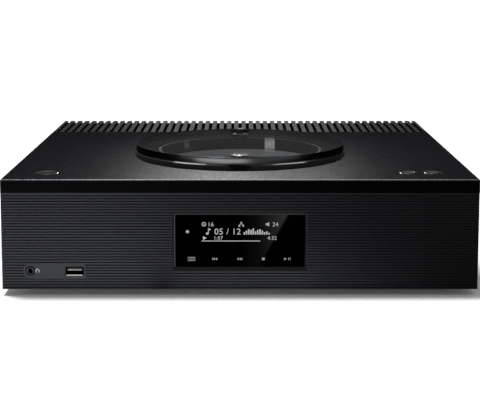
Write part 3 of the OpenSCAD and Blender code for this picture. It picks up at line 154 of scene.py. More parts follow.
def grainFinish(name, ownLook):  # mouldings, paint, rubber and plain metal with a fine grain
    material, sheet = newFinish(name)
    look = {**plainLook, **ownLook}
    spot = sheet.around(sheet.place(), (0, 0, 0), look["stretch"])
    grain = sheet.noise(spot, look["grain"], detail=3.0)
    cloud = sheet.noise(spot, look["grain"] / look["cloud"])
    sockets = {
        "Base Color": sheet.vary(cloud, look["tone"], look["spread"]),
        "Roughness": look["rough"] + (grain - 0.5) * look["roughSpread"],
        "Metallic": look["metal"],
        "Specular IOR Level": look["gloss"],
        "Normal": sheet.bump(grain, look["bump"], look["depth"]),
    }
    if "clear" in look:
        sockets["Coat Weight"] = look["clear"]
        sockets["Coat Roughness"] = look["clearRough"]
    sheet.close(sockets)
    return material


def cutEdges(sheet, spot, lo, hi, look):  # 1 on the upper bevels and corners of a plate, 0 on its flats
    x, y, z = sheet.split(spot)
    top = z > hi.z - look["high"]
    front = y < lo.y + look["edge"]
    side = abs(x) > hi.x - look["edge"]
    return top * front + top * side + front * side


plateLook = {
    "tone": (0.0038, 0.0040, 0.0049), "spread": (0.4, 1.7), "rough": 0.46, "gloss": 0.008, "tint": (0.92, 0.95, 1.0),
    "cut": (0.042, 0.0428, 0.0445), "cutRough": 0.26, "edge": 1.17 * mm, "high": 0.50 * mm,
    # lip is painted shade: the front band's colour, darker than the plate's own tone
    "lip": (0.0003, 0.0003, 0.0004), "shadedLipDeep": 0.1 * mm,
    "brush": 700, "stroke": (1, 0.12, 1), "brushRough": 0.36,
    "grain": 1100, "grainRough": 0.14, "bump": 0.35, "depth": 0.10 * mm,
}


def plateFinish(name, node, look):  # black anodised plate with bright-cut bevels; its front band is painted darker, painted shade
    material, sheet = newFinish(name)
    lo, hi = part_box(node)
    spot = sheet.place()
    bright = cutEdges(sheet, spot, lo, hi, look)
    grain = sheet.noise(spot, look["grain"], detail=3.0)
    strokes = sheet.around(spot, (0, 0, 0), look["stroke"])  # from front to back
    brush = sheet.noise(strokes, look["brush"], detail=3.0)
    y = sheet.split(spot)[1]
    lip = y < lo.y + look["shadedLipDeep"]  # front band, darker than the plate: painted shade where the front face reads black
    # painted shade: the front band takes the darker lip colour
    tone = sheet.blend(lip, sheet.vary(brush, look["tone"], look["spread"]), look["lip"])
    sheet.close({
        "Base Color": sheet.blend(bright, tone, look["cut"]),
        "Metallic": bright,
        "Roughness": look["rough"] + (brush - 0.5) * look["brushRough"] + (grain - 0.5) * look["grainRough"]
                     - bright * (look["rough"] - look["cutRough"]),
        "Specular IOR Level": look["gloss"],
        "Specular Tint": look["tint"],
        "Normal": sheet.bump(grain, look["bump"], look["depth"]),
    })
    return material


grilleLook = {"tone": (0.017, 0.017, 0.0173), "spread": (0.8, 1.3), "rough": 0.4, "gloss": 0.05,
              # deep is painted shade: the darker colour of the bar sides and gap floors
              "deep": (0.003, 0.003, 0.0031), "shadeFrom": 0.15 * mm,
              "grain": 1700, "grainRough": 0.12, "bump": 0.2, "depth": 0.05 * mm}


def grilleFinish(name, node, look):  # anodised bar tops; below them the bar sides and gap floors are painted darker, painted shade in the gaps
    material, sheet = newFinish(name)
    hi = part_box(node)[1]
    spot = sheet.place()
    grain = sheet.noise(spot, look["grain"], detail=3.0)
    z = sheet.split(spot)[2]
    tone = sheet.vary(grain, look["tone"], look["spread"])
    sheet.close({
        # painted shade: all below the bar tops takes the darker deep colour
        "Base Color": sheet.blend(z < hi.z - look["shadeFrom"], tone, look["deep"]),
        "Roughness": look["rough"] + (grain - 0.5) * look["grainRough"],
        "Specular IOR Level": look["gloss"],
        "Normal": sheet.bump(grain, look["bump"], look["depth"]),
    })
    return material


panelLook = {"tone": (0.0022, 0.0023, 0.0027), "spread": (0.95, 1.05), "rough": 0.46, "gloss": 0.09,
             "tint": (0.90, 0.93, 1.0), "draw": 2600, "along": (0.01, 1, 1), "drawRough": 0.03,
             # grooveShade is painted shade: the grooves take this share of the panel's tone
             "groove": (0.05 * mm, 1.0 * mm), "grooveShade": 0.5, "grooveRough": 0.25,
             "grain": 2200, "grainRough": 0.06, "bump": 0.06, "depth": 0.03 * mm}


def panelFinish(name, node, look):  # extruded and anodised, with faint draw lines along the grooves; the grooves are painted darker, painted shade
    material, sheet = newFinish(name)
    spot = sheet.place()
    drawn = sheet.noise(sheet.around(spot, (0, 0, 0), look["along"]), look["draw"])
    grain = sheet.noise(spot, look["grain"])
    tone = sheet.vary(drawn, look["tone"], look["spread"])
    y = sheet.split(spot)[1]
    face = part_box(node)[0].y
    sunk = (y > face + look["groove"][0]) * (y < face + look["groove"][1])  # floor and flanks of the grooves
    sheet.close({
        # painted shade: the groove floors and flanks are darker than the face
        "Base Color": sheet.blend(sunk, tone, share(look["tone"], look["grooveShade"])),
        "Roughness": look["rough"] + (drawn - 0.5) * look["drawRough"] + (grain - 0.5) * look["grainRough"]
                     + sunk * look["grooveRough"],
        "Specular IOR Level": look["gloss"],
        "Specular Tint": look["tint"],
        "Normal": sheet.bump(grain, look["bump"], look["depth"]),
    })
    return material


buttonLook = {"tone": (0.005, 0.005, 0.0055), "spread": (0.8, 1.3), "rough": 0.26, "gloss": 0.2, "rings": 900.0,
              "uneven": 0.6, "ringDetail": 1.0, "ringRough": 0.08, "bump": 0.06, "depth": 0.02 * mm}


def buttonFinish(name, node, look):  # turned dish: fine rings about the button's own middle
    material, sheet = newFinish(name)
    lo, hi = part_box(node)
    middle = ((lo.x + hi.x) / 2, (lo.y + hi.y) / 2, 0)
    spot = sheet.around(sheet.place(), middle, (1, 1, 0))
    rings = sheet.rings(spot, look["rings"], look["uneven"], look["ringDetail"])
    sheet.close({
        "Base Color": sheet.vary(rings, look["tone"], look["spread"]),
        "Roughness": look["rough"] + (rings - 0.5) * look["ringRough"],
        "Specular IOR Level": look["gloss"],
        "Normal": sheet.bump(rings, look["bump"], look["depth"]),
    })
    return material


boardLook = {"cells": 190.0, "cellFrom": 0.35, "tracks": 130.0, "turns": 9.0, "trackDetail": 0.0, "trackFrom": 0.6,
             "rough": 0.38, "copperRough": 0.08, "bump": 0.2, "depth": 0.04 * mm}
boardTones = {
    "boardGreen": {"mask": (0.012, 0.075, 0.040), "track": (0.030, 0.150, 0.080)},
    "boardTan": {"mask": (0.30, 0.21, 0.10), "track": (0.42, 0.32, 0.17)},
}


def boardFinish(name, tones, look):  # solder mask over copper tracks
    material, sheet = newFinish(name)
    spot = sheet.place()
    cells = sheet.add("TexVoronoi", {"distance": "MANHATTAN", "feature": "F2"},
                      {"Vector": spot, "Scale": look["cells"]}, out="Distance")
    tracks = sheet.add("TexWave", {"bands_direction": "DIAGONAL"},
                       {"Vector": spot, "Scale": look["tracks"], "Distortion": look["turns"],
                        "Detail": look["trackDetail"]}, out="Fac")
    copper = (tracks > look["trackFrom"]) * (cells > look["cellFrom"])
    sheet.close({
        "Base Color": sheet.blend(copper, tones["mask"], tones["track"]),
        "Roughness": look["rough"] - copper * look["copperRough"],
        "Normal": sheet.bump(copper, look["bump"], look["depth"]),
    })
    return material


discLook = {"silver": (0.48, 0.525, 0.55), "spread": (0.85, 1.15), "silverTo": 58.5 * mm, "metal": 0.3,
            "clear": (0.10, 0.11, 0.115), "clearTo": 22.5 * mm, "soften": 1e-6, "tracks": 260.0, "rough": 0.28,
            "trackRough": 0.06, "coat": 0.4, "trackCoat": 0.1, "coatRough": 0.05}


def discFinish(name, look):  # mirror band with fine tracks and a painted sheen, a soft fan of light painted into its colour; clear middle
    material, sheet = newFinish(name)
    spot = sheet.around(sheet.place(), discMiddle, (1, 1, 0))
    x, y, _ = sheet.split(spot)
    radius = sheet.add("VectorMath", {"operation": "LENGTH"}, {0: spot}, out="Value")
    tracks = sheet.rings(spot, look["tracks"])
    paintedSheen = x * y / (radius * radius + look["soften"])  # softened, as the middle has no radius
    band = (radius > look["clearTo"]) * (radius < look["silverTo"])
    # painted sheen: the silver turns lighter and darker by angle round the middle
    tone = sheet.vary(paintedSheen + 0.5, look["silver"], look["spread"])
    sheet.close({
        "Base Color": sheet.blend(band, look["clear"], tone),
        "Metallic": band * look["metal"],
        "Roughness": look["rough"] + tracks * look["trackRough"],
        "Coat Weight": look["coat"] + tracks * look["trackCoat"],
        "Coat Roughness": look["coatRough"],
    })
    return material


paneLook = {"tone": (0.037, 0.037, 0.0393), "spread": (0.8, 1.2), "alpha": 0.32, "rough": 0.02, "gloss": 0.6,
            "haze": 25, "hazeRough": 0.01}


def paneFinish(name, look):  # lightly smoked clear disc; its grey tone is partly the smoke, partly painted reflection
    material, sheet = newFinish(name)
    haze = sheet.noise(sheet.place(), look["haze"])
    sheet.close({
        "Base Color": sheet.vary(haze, look["tone"], look["spread"]),
        "Roughness": look["rough"] + haze * look["hazeRough"],
        "Specular IOR Level": look["gloss"],
        "Alpha": look["alpha"],
    })
    return material


rimLook = {"tone": (0.034, 0.034, 0.0348), "spread": (0.8, 1.2), "rough": 0.24, "gloss": 0.02, "lines": 5200,
           "along": (0.02, 0.02, 1), "lineRough": 0.12, "bump": 0.08, "depth": 0.02 * mm,
           "top": (0.018, 0.018, 0.019), "topDeep": 0.08 * mm, "topRough": 0.3}


def rimFinish(name, node, look):  # turned dark metal, lines run round the rim; its top edge is matt
    material, sheet = newFinish(name)
    spot = sheet.around(sheet.place(), discMiddle)
    lines = sheet.noise(sheet.around(spot, (0, 0, 0), look["along"]), look["lines"])
    matt = sheet.split(spot)[2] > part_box(node)[1].z - look["topDeep"]
    sheet.close({
        "Base Color": sheet.blend(matt, sheet.vary(lines, look["tone"], look["spread"]), look["top"]),
        "Metallic": 1 - matt,
        "Roughness": look["rough"] + (lines - 0.5) * look["lineRough"] + matt * look["topRough"],
        "Specular IOR Level": look["gloss"],
        "Normal": sheet.bump(lines, look["bump"], look["depth"]),
    })
    return material


windowLook = {"tone": (0.0003, 0.0003, 0.0004), "spread": (0.7, 1.3), "rough": 0.03, "gloss": 0.012, "ripple": 40,
              "rippleRough": 0.01}


def windowFinish(name, look):  # dark window, faintly rippled
    material, sheet = newFinish(name)
    ripple = sheet.noise(sheet.place(), look["ripple"], detail=1.0)
    sheet.close({
        "Base Color": sheet.vary(ripple, look["tone"], look["spread"]),
        "Roughness": look["rough"] + ripple * look["rippleRough"],
        "Specular IOR Level": look["gloss"],
    })
    return material


glowLook = {"pitch": 0.32 * mm, "gap": 0.12, "between": 0.7, "unlit": (0.01, 0.01, 0.01), "rough": 0.4}


def glowFinish(name, tone, strength, look=glowLook):  # lit dots of a display, on a fine grid
    material, sheet = newFinish(name)
    x, _, z = sheet.split(sheet.place())
    half = look["pitch"] / 2
    across = sheet.add("Math", {"operation": "PINGPONG"}, {0: x, 1: half}) / half
    along = sheet.add("Math", {"operation": "PINGPONG"}, {0: z, 1: half}) / half
    dot = (across > look["gap"]) * (along > look["gap"])
    sheet.close({
        "Base Color": look["unlit"],
        "Emission Color": sheet.blend(dot, share(tone, look["between"]), tone),
        "Emission Strength": strength,
        "Roughness": look["rough"],
    })
    return material


looks = {
    "blackPaint": {"tone": (0.014, 0.014, 0.0155), "rough": 0.5, "grain": 1400, "gloss": 0.3, "bump": 0.3},
    "zincSteel": {"tone": (0.50, 0.51, 0.53), "rough": 0.36, "grain": 900, "metal": 1.0, "stretch": (0.06, 1, 1)},
    "screwSteel": {"tone": (0.34, 0.34, 0.35), "rough": 0.32, "grain": 2500, "metal": 1.0},
    "polishedSteel": {"tone": (0.62, 0.63, 0.65), "rough": 0.14, "grain": 2500, "metal": 1.0, "bump": 0.05},
    "darkSteel": {"tone": (0.045, 0.045, 0.046), "rough": 0.35, "grain": 2500, "gloss": 0.3, "bump": 0.05},
    "footRubber": {"tone": (0.016, 0.016, 0.016), "rough": 0.75, "grain": 1200, "gloss": 0.3, "bump": 0.4},
    "glossBlack": {"tone": (0.004, 0.004, 0.005), "rough": 0.10, "grain": 300, "gloss": 0.28, "bump": 0.03},
    "matteBlack": {"tone": (0.010, 0.010, 0.011), "rough": 0.5, "grain": 1800, "gloss": 0.3, "bump": 0.2},
    "hubBlack": {"tone": (0.018, 0.018, 0.019), "rough": 0.35, "grain": 1200, "gloss": 0.2, "bump": 0.05},
    # lid seat ring: own gloss black, its tone lifted to dark grey as painted reflection of the plate's highlight
    "ringBlackPaintedReflection": {"tone": (0.030, 0.030, 0.031), "rough": 0.12, "grain": 300, "gloss": 0.28, "bump": 0.03},
    "brass": {"tone": (0.66, 0.48, 0.20), "rough": 0.26, "grain": 2200, "metal": 1.0},
    "nickel": {"tone": (0.55, 0.54, 0.51), "rough": 0.24, "grain": 2000, "metal": 1.0, "bump": 0.08},
    "ivoryGear": {"tone": (0.70, 0.67, 0.58), "rough": 0.42, "grain": 1500},
    "ferrite": {"tone": (0.055, 0.050, 0.045), "rough": 0.6, "grain": 900, "bump": 0.3},
    "blueSleeve": {"tone": (0.018, 0.032, 0.085), "rough": 0.25, "grain": 700, "bump": 0.05},
    "bareAluminium": {"tone": (0.60, 0.61, 0.63), "rough": 0.35, "grain": 900, "metal": 1.0, "stretch": (1, 0.05, 1)},
    "capRed": {"tone": (0.36, 0.014, 0.014), "rough": 0.3, "grain": 1400},
    "lensGlass": {"tone": (0.10, 0.20, 0.40), "rough": 0.06, "grain": 500, "clear": 0.6, "bump": 0.02},
    "displayGlass": {"tone": (0.012, 0.012, 0.014), "rough": 0.2, "grain": 900},
    "jackBlack": {"tone": (0.002, 0.002, 0.002), "rough": 0.25, "grain": 900, "gloss": 0.02, "bump": 0.03},
    "wellBlack": {"tone": (0.013, 0.013, 0.0137), "rough": 0.35, "grain": 1500, "gloss": 0.03, "bump": 0.05},
    "capBlack": {"tone": (0.004, 0.004, 0.005), "rough": 0.16, "grain": 300, "gloss": 0.03, "bump": 0.02},
    "darkShell": {"tone": (0.005, 0.005, 0.0055), "rough": 0.4, "grain": 1500, "metal": 1.0, "bump": 0.05},
    "tongueBlack": {"tone": (0.006, 0.006, 0.006), "rough": 0.5, "grain": 1500, "gloss": 0.02, "bump": 0.05},
    "tipGrey": {"tone": (0.20, 0.20, 0.20), "rough": 0.5, "grain": 1500, "gloss": 0.10, "bump": 0.05},
    "jackLip": {"tone": (0.02, 0.02, 0.021), "rough": 0.4, "grain": 1200, "gloss": 0.12, "bump": 0.03},
    "glassEdge": {"tone": (0.0005, 0.0005, 0.0006), "rough": 0.22, "grain": 600, "gloss": 0.10, "bump": 0.02},
    "chrome": {"tone": (0.60, 0.61, 0.63), "rough": 0.3, "grain": 900, "metal": 1.0, "bump": 0.02},
    "springSteel": {"tone": (0.060, 0.057, 0.050), "rough": 0.3, "grain": 1500, "metal": 1.0, "bump": 0.05},
    "signGrey": {"tone": (0.36, 0.37, 0.40), "rough": 0.6, "grain": 1800},
    "goldPlate": {"tone": (0.78, 0.58, 0.26), "rough": 0.2, "grain": 1800, "metal": 1.0},
    "ringWhite": {"tone": (0.62, 0.62, 0.60), "rough": 0.4, "grain": 1500},
    "ringRed": {"tone": (0.40, 0.016, 0.016), "rough": 0.4, "grain": 1500},
    "lampGreen": {"tone": (0.05, 0.22, 0.07), "rough": 0.25, "grain": 900},
    "lampAmber": {"tone": (0.34, 0.15, 0.02), "rough": 0.25, "grain": 900},
}
glows = {  # tone and strength
    "glow": ((0.80, 0.83, 0.86), 0.46),
    "keyGlow": ((0.80, 0.80, 0.82), 0.15),
    "standbyGlow": ((0.42, 0.68, 1.0), 1.4),
    "standbyHalo": ((0.10, 0.24, 1.0), 0.05),
}
finishes = {name: grainFinish(name, look) for name, look in looks.items()}
finishes.update({name: boardFinish(name, tones, boardLook) for name, tones in boardTones.items()})
finishes.update({name: glowFinish(name, tone, strength) for name, (tone, strength) in glows.items()})
finishes.update({
    "plate": plateFinish("plate", "top_plate", plateLook),
    "grille": grilleFinish("grille", "rear_grille", grilleLook),
    "panel": panelFinish("panel", "front_panel", panelLook),
    "disc": discFinish("disc", discLook),
    "pane": paneFinish("pane", paneLook),
    "rim": rimFinish("rim", "lid_rim", rimLook),
    "window": windowFinish("window", windowLook),
})
buttons = ("power_button", "volume_down_button", "volume_up_button")
finishes.update({name: buttonFinish(name + "Finish", name, buttonLook) for name in buttons})

dressed = {
    "plate": ["top_plate"], "grille": ["rear_grille"], "panel": ["front_panel"],
    "blackPaint": ["rear_panel", "left_side_panel", "right_side_panel"],
    "zincSteel": ["bottom_chassis", "mechanism_bracket", "mechanism_plate", "spindle_motor", "feed_motor"],
    "screwSteel": ["foot_screws", "case_screws"], "footRubber": ["feet", "mechanism_dampers"],
    "ringBlackPaintedReflection": ["lid_seat_ring"], "glossBlack": ["lid_tab", "terminal_cap_2", "terminal_cap_4"],
    "wellBlack": ["disc_well"], "jackBlack": ["headphone_jack"],
    "matteBlack": ["key_switches", "display_frame", "pickup_sled", "ac_inlet", "terminal_block"],
    "rim": ["lid_rim"], "capBlack": ["pivot_cap"], "pane": ["lid_window"],
    "polishedSteel": ["pivot_clip", "hub_grip_balls", "guide_rods"],
    "darkSteel": ["pivot_shaft", "pivot_bush"], "brass": ["feed_pinion", "terminal_posts"],
    "window": ["display_window"], "displayGlass": ["display_module"], "standbyGlow": ["standby_light"],
    "darkShell": ["usb_shell"], "nickel": ["rca_jacks", "lan_socket"], "tongueBlack": ["usb_tongue"],
    "boardGreen": ["key_boards", "display_board", "jack_board", "main_board"], "boardTan": ["power_board"],
    "hubBlack": ["turntable"], "disc": ["compact_disc"], "lensGlass": ["pickup_lens"],
    "ivoryGear": ["feed_gear"], "ferrite": ["power_transformer"], "blueSleeve": ["supply_capacitors"],
    "bareAluminium": ["heat_bridge"], "capRed": ["terminal_cap_1", "terminal_cap_3"],
    **{name: [name] for name in buttons},
}
for finish, names in dressed.items():
    for name in names:
        nodes[name].data.materials.clear()
        nodes[name].data.materials.append(finishes[finish])
print("finishes:", len(finishes))


def letGo():
    if bpy.context.object and bpy.context.object.mode != "OBJECT":
        bpy.ops.object.mode_set(mode="OBJECT")
    bpy.ops.object.select_all(action="DESELECT")


def joined(parts):  # several parts as one mesh, place in the mesh
    letGo()
    for part in parts:
        part.select_set(True)
    bpy.context.view_layer.objects.active = parts[0]
    if len(parts) > 1:
        bpy.ops.object.join()
    bpy.ops.object.transform_apply(location=True, rotation=True, scale=True)
    return bpy.context.object


def settle(piece, name, finish, body):
    letGo()
    piece.name = name
    piece.data.name = name
    piece.data.materials.clear()
    piece.data.materials.append(finishes[finish])
    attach(piece, body)
    return piece


toFront = (math.pi / 2, 0, 0)  # turns a flat part to face the front
toBack = (math.pi / 2, 0, math.pi)  # turns lettering to be read from behind
toRear = (-math.pi / 2, 0, 0)  # turns a part's Z to the rear
lettering = {"rise": 0.70, "curve": 3, "spacing": 1.06}  # rise: height of a number over its font size
ringSides = 40
discSides = 28


def signBar(x, y, z, wide, high):
    letGo()
    bpy.ops.mesh.primitive_plane_add(size=1, location=(x, y, z), rotation=toFront)
    bpy.context.object.scale = (wide, high, 1)
    return bpy.context.object


def signTriangle(x, y, z, wide, high, way):  # way 1 points right, -1 left
    letGo()
    bpy.ops.mesh.primitive_circle_add(vertices=3, radius=1, fill_type="NGON", location=(x, y, z),
                                      rotation=(math.pi / 2, way * math.pi / 2, 0))
    bpy.context.object.scale = (high / math.sqrt(3), wide / 1.5, 1)  # side and height of the plain triangle
    return bpy.context.object


def signRing(x, y, z, outer, inner, upper=False):
    letGo()
    bpy.ops.mesh.primitive_circle_add(vertices=ringSides, radius=outer, fill_type="NGON",
                                      location=(x, y, z), rotation=toFront)
    piece = bpy.context.object
    bpy.ops.object.mode_set(mode="EDIT")
    bpy.ops.mesh.select_all(action="SELECT")
    bpy.ops.mesh.inset(thickness=outer - inner)
    bpy.ops.mesh.delete(type="FACE")
    if upper:
        bpy.ops.mesh.select_all(action="SELECT")
        bpy.ops.mesh.bisect(plane_co=(x, y, z), plane_no=(0, 0, 1), clear_inner=True)
    bpy.ops.object.mode_set(mode="OBJECT")
    return piece


def signDisc(x, y, z, radius, wide):
    letGo()
    bpy.ops.mesh.primitive_circle_add(vertices=discSides, radius=radius, fill_type="NGON",
                                      location=(x, y, z), rotation=toFront)
    bpy.context.object.scale = (wide, 1, 1)
    return bpy.context.object


def signNumber(text, x, y, z, high, turn):  # x and z are the left foot of the number
    letGo()
    bpy.ops.object.text_add(location=(x, y, z), rotation=turn)
    words = bpy.context.object
    words.data.body = text
    words.data.size = high / lettering["rise"]
    words.data.resolution_u = lettering["curve"]
    words.data.space_character = lettering["spacing"]
    bpy.ops.object.convert(target="MESH")
    return bpy.context.object


def signSet(s, y, turn):  # flat parts from tables in mm: place across and up, then sizes
    parts = []
    for x, z, outer, inner in s.get("rings", ()):
        parts.append(signRing(x * mm, y, z * mm, outer * mm, inner * mm))
    for x, z, outer, inner in s.get("arches", ()):
        parts.append(signRing(x * mm, y, z * mm, outer * mm, inner * mm, upper=True))
    for x, z, radius, wide in s.get("discs", ()):
        parts.append(signDisc(x * mm, y, z * mm, radius * mm, wide))
    for x, z, wide, high in s.get("bars", ()):
        parts.append(signBar(x * mm, y, z * mm, wide * mm, high * mm))
    for x, z, wide, high, way in s.get("triangles", ()):
        parts.append(signTriangle(x * mm, y, z * mm, wide * mm, high * mm, way))
    for text, x, z, high in s.get("numbers", ()):
        parts.append(signNumber(text, x * mm, y, z * mm, high * mm, turn))
    return parts


relief = {"depth": 0.06 * mm, "offset": 1 / 3}


def signPiece(name, s, y, finish, turn=toFront):  # the flat parts with a thin body, as one piece
    piece = joined(signSet(s, y, turn))
    solid = piece.modifiers.new("body", "SOLIDIFY")
    solid.thickness = relief["depth"]
    solid.offset = relief["offset"]
    bpy.ops.object.modifier_apply(modifier=solid.name)
    return settle(piece, name, finish, "chassis")


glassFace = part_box("display_window")[0].y
levels = {"heights": (3, 5, 7, 6, 8, 4, 6, 7, 5, 3, 4, 2), "step": 0.55, "from": 3.0, "pitch": 1.6, "wide": 1.0,
          "foot": 44.0}
displayTable = {
    "rings": [(-25.6, 51.4, 1.6, 1.15)],
    "discs": [(-25.6, 51.4, 0.45, 1.0), (-23.2, 44.7, 0.75, 1.35)],
    "numbers": [("16", -23.0, 49.9, 3.0), ("24", 23.0, 49.9, 2.9), ("05 / 12", -18.3, 44.0, 4.4),
                ("1:07", -18.8, 40.2, 2.6), ("4:32", 19.4, 40.2, 2.6)],
    "triangles": [(19.9, 51.4, 2.2, 3.1, -1), (-25.4, 41.45, 2.6, 2.7, 1), (-21.5, 47.6, 1.5, 1.5, 1)],
    "bars": [(18.7, 51.4, 0.9, 1.2), (-6.4, 39.3, 41.6, 0.5), (0.9, 52.4, 1.1, 1.1), (-0.5, 50.3, 1.1, 1.1),
             (2.3, 50.3, 1.1, 1.1), (0.9, 51.3, 2.8, 0.3), (-22.4, 46.7, 0.45, 4.0)],
}
for i, height in enumerate(levels["heights"]):
    high = height * levels["step"]
    across = levels["from"] + i * levels["pitch"]
    displayTable["bars"].append((across, levels["foot"] + high / 2, levels["wide"], high))
keyTable = {  # menu, back, forward, stop, play and pause
    "bars": [(-34.5, 25.15, 5.4, 0.42), (-34.5, 26.3, 5.4, 0.42), (-34.5, 27.45, 5.4, 0.42), (-19.4, 26.3, 0.36, 1.9),
             (1.5, 26.3, 0.36, 1.9), (16.6, 26.3, 1.9, 1.9), (34.6, 26.3, 0.5, 1.8), (35.7, 26.3, 0.5, 1.8)],
    "triangles": [(-16.7, 26.3, 1.6, 1.9, -1), (-18.4, 26.3, 1.6, 1.9, -1), (-1.2, 26.3, 1.6, 1.9, 1),
                  (0.5, 26.3, 1.6, 1.9, 1), (32.0, 26.3, 1.9, 1.9, 1)],
}
haloTable = {"rings": [(-37.3, 46.05, 1.35, 0.52)]}
spotTable = {"discs": [(-37.3, 46.05, 0.5, 1.0)]}
headphoneTable = {"arches": [(-144.0, 18.1, 1.3, 0.85)],
                  "bars": [(-145.1, 17.45, 0.5, 1.5), (-142.9, 17.45, 0.5, 1.5)]}

signPiece("displaySigns", displayTable, glassFace, "glow")
signPiece("keySigns", keyTable, glassFace, "keyGlow")
signPiece("standbyHalo", haloTable, glassFace, "standbyHalo")
signPiece("standbySpot", spotTable, glassFace, "standbyGlow")
signPiece("headphoneSign", headphoneTable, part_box("front_panel")[0].y, "signGrey")
print("front signs done")


lathe = {"sides": 40, "weld": 1e-7, "smooth": math.radians(40)}


def turned(steps, ring=True, sides=lathe["sides"]):  # ring or solid cap about Z, from (radius, height) steps in mm
    letGo()
    steps = [(radius * mm, height * mm) for radius, height in steps]
    bpy.ops.mesh.primitive_circle_add(vertices=sides, radius=steps[0][0], fill_type="NOTHING",
                                      location=(0, 0, steps[0][1]))
    piece = bpy.context.object
    bpy.ops.object.transform_apply(location=True, rotation=False, scale=False)
    bpy.ops.object.mode_set(mode="EDIT")
    bpy.ops.mesh.select_all(action="SELECT")
    for (radius, height), (nextRadius, nextHeight) in zip(steps, steps[1:]):
        bpy.ops.mesh.extrude_region()
        growth = nextRadius / radius
        bpy.ops.transform.resize(value=(growth, growth, 1), center_override=(0, 0, 0))
        bpy.ops.transform.translate(value=(0, 0, nextHeight - height))
    if ring:
        bpy.ops.mesh.select_all(action="DESELECT")
        bpy.ops.mesh.select_non_manifold()
        bpy.ops.mesh.bridge_edge_loops()
    else:
        bpy.ops.mesh.select_all(action="SELECT")
        bpy.ops.mesh.fill_holes(sides=0)
    bpy.ops.mesh.select_all(action="SELECT")
    bpy.ops.mesh.remove_doubles(threshold=lathe["weld"])
    bpy.ops.mesh.normals_make_consistent(inside=False)
    bpy.ops.object.mode_set(mode="OBJECT")
    bpy.ops.object.shade_smooth_by_angle(angle=lathe["smooth"])
    return piece


def block(lo, hi, cut):  # bar between two corners with its edges bevelled
    letGo()
    lo, hi = Vector(lo), Vector(hi)
    bpy.ops.mesh.primitive_cube_add(size=1, location=(lo + hi) / 2, scale=hi - lo)
    piece = bpy.context.object
    bpy.ops.object.transform_apply(location=True, rotation=True, scale=True)
    bpy.ops.object.mode_set(mode="EDIT")
    bpy.ops.mesh.select_all(action="SELECT")
    bpy.ops.mesh.bevel(offset=cut, segments=2, affect="EDGES")
    bpy.ops.object.mode_set(mode="OBJECT")
    return piece


def copies(piece, places, turn=(0, 0, 0)):  # the same shape at several places, each with its own mesh
    piece.rotation_euler = turn
    made = [piece]
    for place in places[1:]:
        twin = piece.copy()
        twin.data = piece.data.copy()
        bpy.context.scene.collection.objects.link(twin)
        twin.location = place
        made.append(twin)
    piece.location = places[0]
    return joined(made)


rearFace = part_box("rear_panel")[1].y
lineJacks = {"x": {"Red": -15.6 * mm, "White": -1.6 * mm}, "z": (22.4 * mm, 36.4 * mm), "tip": 161.5 * mm,
             "slots": {"Red": "cap_red", "White": "white_plastic"},
             "base": [(4.2, -0.05), (5.4, -0.05), (5.4, 0.8), (5.1, 1.1), (4.2, 1.1)],
             "mouth": [(1.65, -0.05), (3.35, -0.05), (3.35, 0.16), (3.2, 0.25), (1.8, 0.25)]}


def jackRings(s):  # coloured collars and mouths on the four line jacks
    for colour, x in s["x"].items():
        for part, y in (("base", rearFace), ("mouth", s["tip"])):
            rings = copies(turned(s[part]), [(x, y, z) for z in s["z"]], toRear)
            settle(rings, part + colour, "ring" + colour, "chassis")


network = {"x": 35.4 * mm, "z": 22.15 * mm, "wires": 8, "pitch": 1.02 * mm, "wire": (0.45 * mm, 9.6 * mm, 0.3 * mm),
           "wireCut": 0.08 * mm, "wireTilt": -10.4, "wireIn": 2.2 * mm, "wireUp": 2.2 * mm,
           "lamp": (2.6 * mm, 0.5 * mm, 1.5 * mm), "lampCut": 0.15 * mm, "lampX": 6.2 * mm, "lampUp": 5.35 * mm,
           "lamps": {"Green": -1, "Amber": 1}}


def networkDetails(s):  # sprung contacts inside the socket and a lamp in each upper corner
    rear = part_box("lan_socket")[1].y
    wide, deep, high = s["wire"]
    wire = block((-wide / 2, -deep, -high / 2), (wide / 2, 0, high / 2), s["wireCut"])
    first = s["x"] - (s["wires"] - 1) / 2 * s["pitch"]
    places = [(first + i * s["pitch"], rear - s["wireIn"], s["z"] + s["wireUp"]) for i in range(s["wires"])]
    wires = copies(wire, places, (math.radians(s["wireTilt"]), 0, 0))
    settle(wires, "networkContacts", "goldPlate", "chassis")
    half = Vector(s["lamp"]) / 2
    for colour, side in s["lamps"].items():
        place = (s["x"] + side * s["lampX"], rear, s["z"] + s["lampUp"])
        lamp = copies(block(-half, half, s["lampCut"]), [place])
        settle(lamp, "networkLamp" + colour, "lamp" + colour, "chassis")


inletPins = {"x": -123.6 * mm, "z": 23.9 * mm, "pitch": 8.6 * mm, "tip": 152.5 * mm, "sides": 28,
             "steps": [(1.24, -9.0), (1.24, 0.06), (1.05, 0.4), (0.6, 0.55)]}


def inletSleeves(s):  # bright sleeves with round tips on the two pins
    pin = turned(s["steps"], ring=False, sides=s["sides"])
    pins = copies(pin, [(s["x"] + side * s["pitch"] / 2, s["tip"], s["z"]) for side in (-1, 1)], toRear)
    return settle(pins, "inletSleeves", "nickel", "chassis")


terminals = {"x": (72.6, 91.6, 119.6, 138.6), "z": 48.6 * mm, "red": (72.6, 119.6),
             "collar": [(6.75, -0.05), (7.6, -0.05), (7.6, 0.5), (7.3, 0.7), (6.9, 0.7)]}
terminalTable = {  # a minus at each post, made a plus at the red ones, and a number for each pair
    "bars": [(x, 58.4, 3.0, 0.6) for x in terminals["x"]] + [(x, 58.4, 0.6, 3.0) for x in terminals["red"]],
    "numbers": [("1", 82.9, 57.0, 3.0), ("2", 129.9, 57.0, 3.0)],
}
jackTable = {"numbers": [("1", -14.9, 43.2, 2.6), ("2", -0.9, 43.2, 2.6)]}


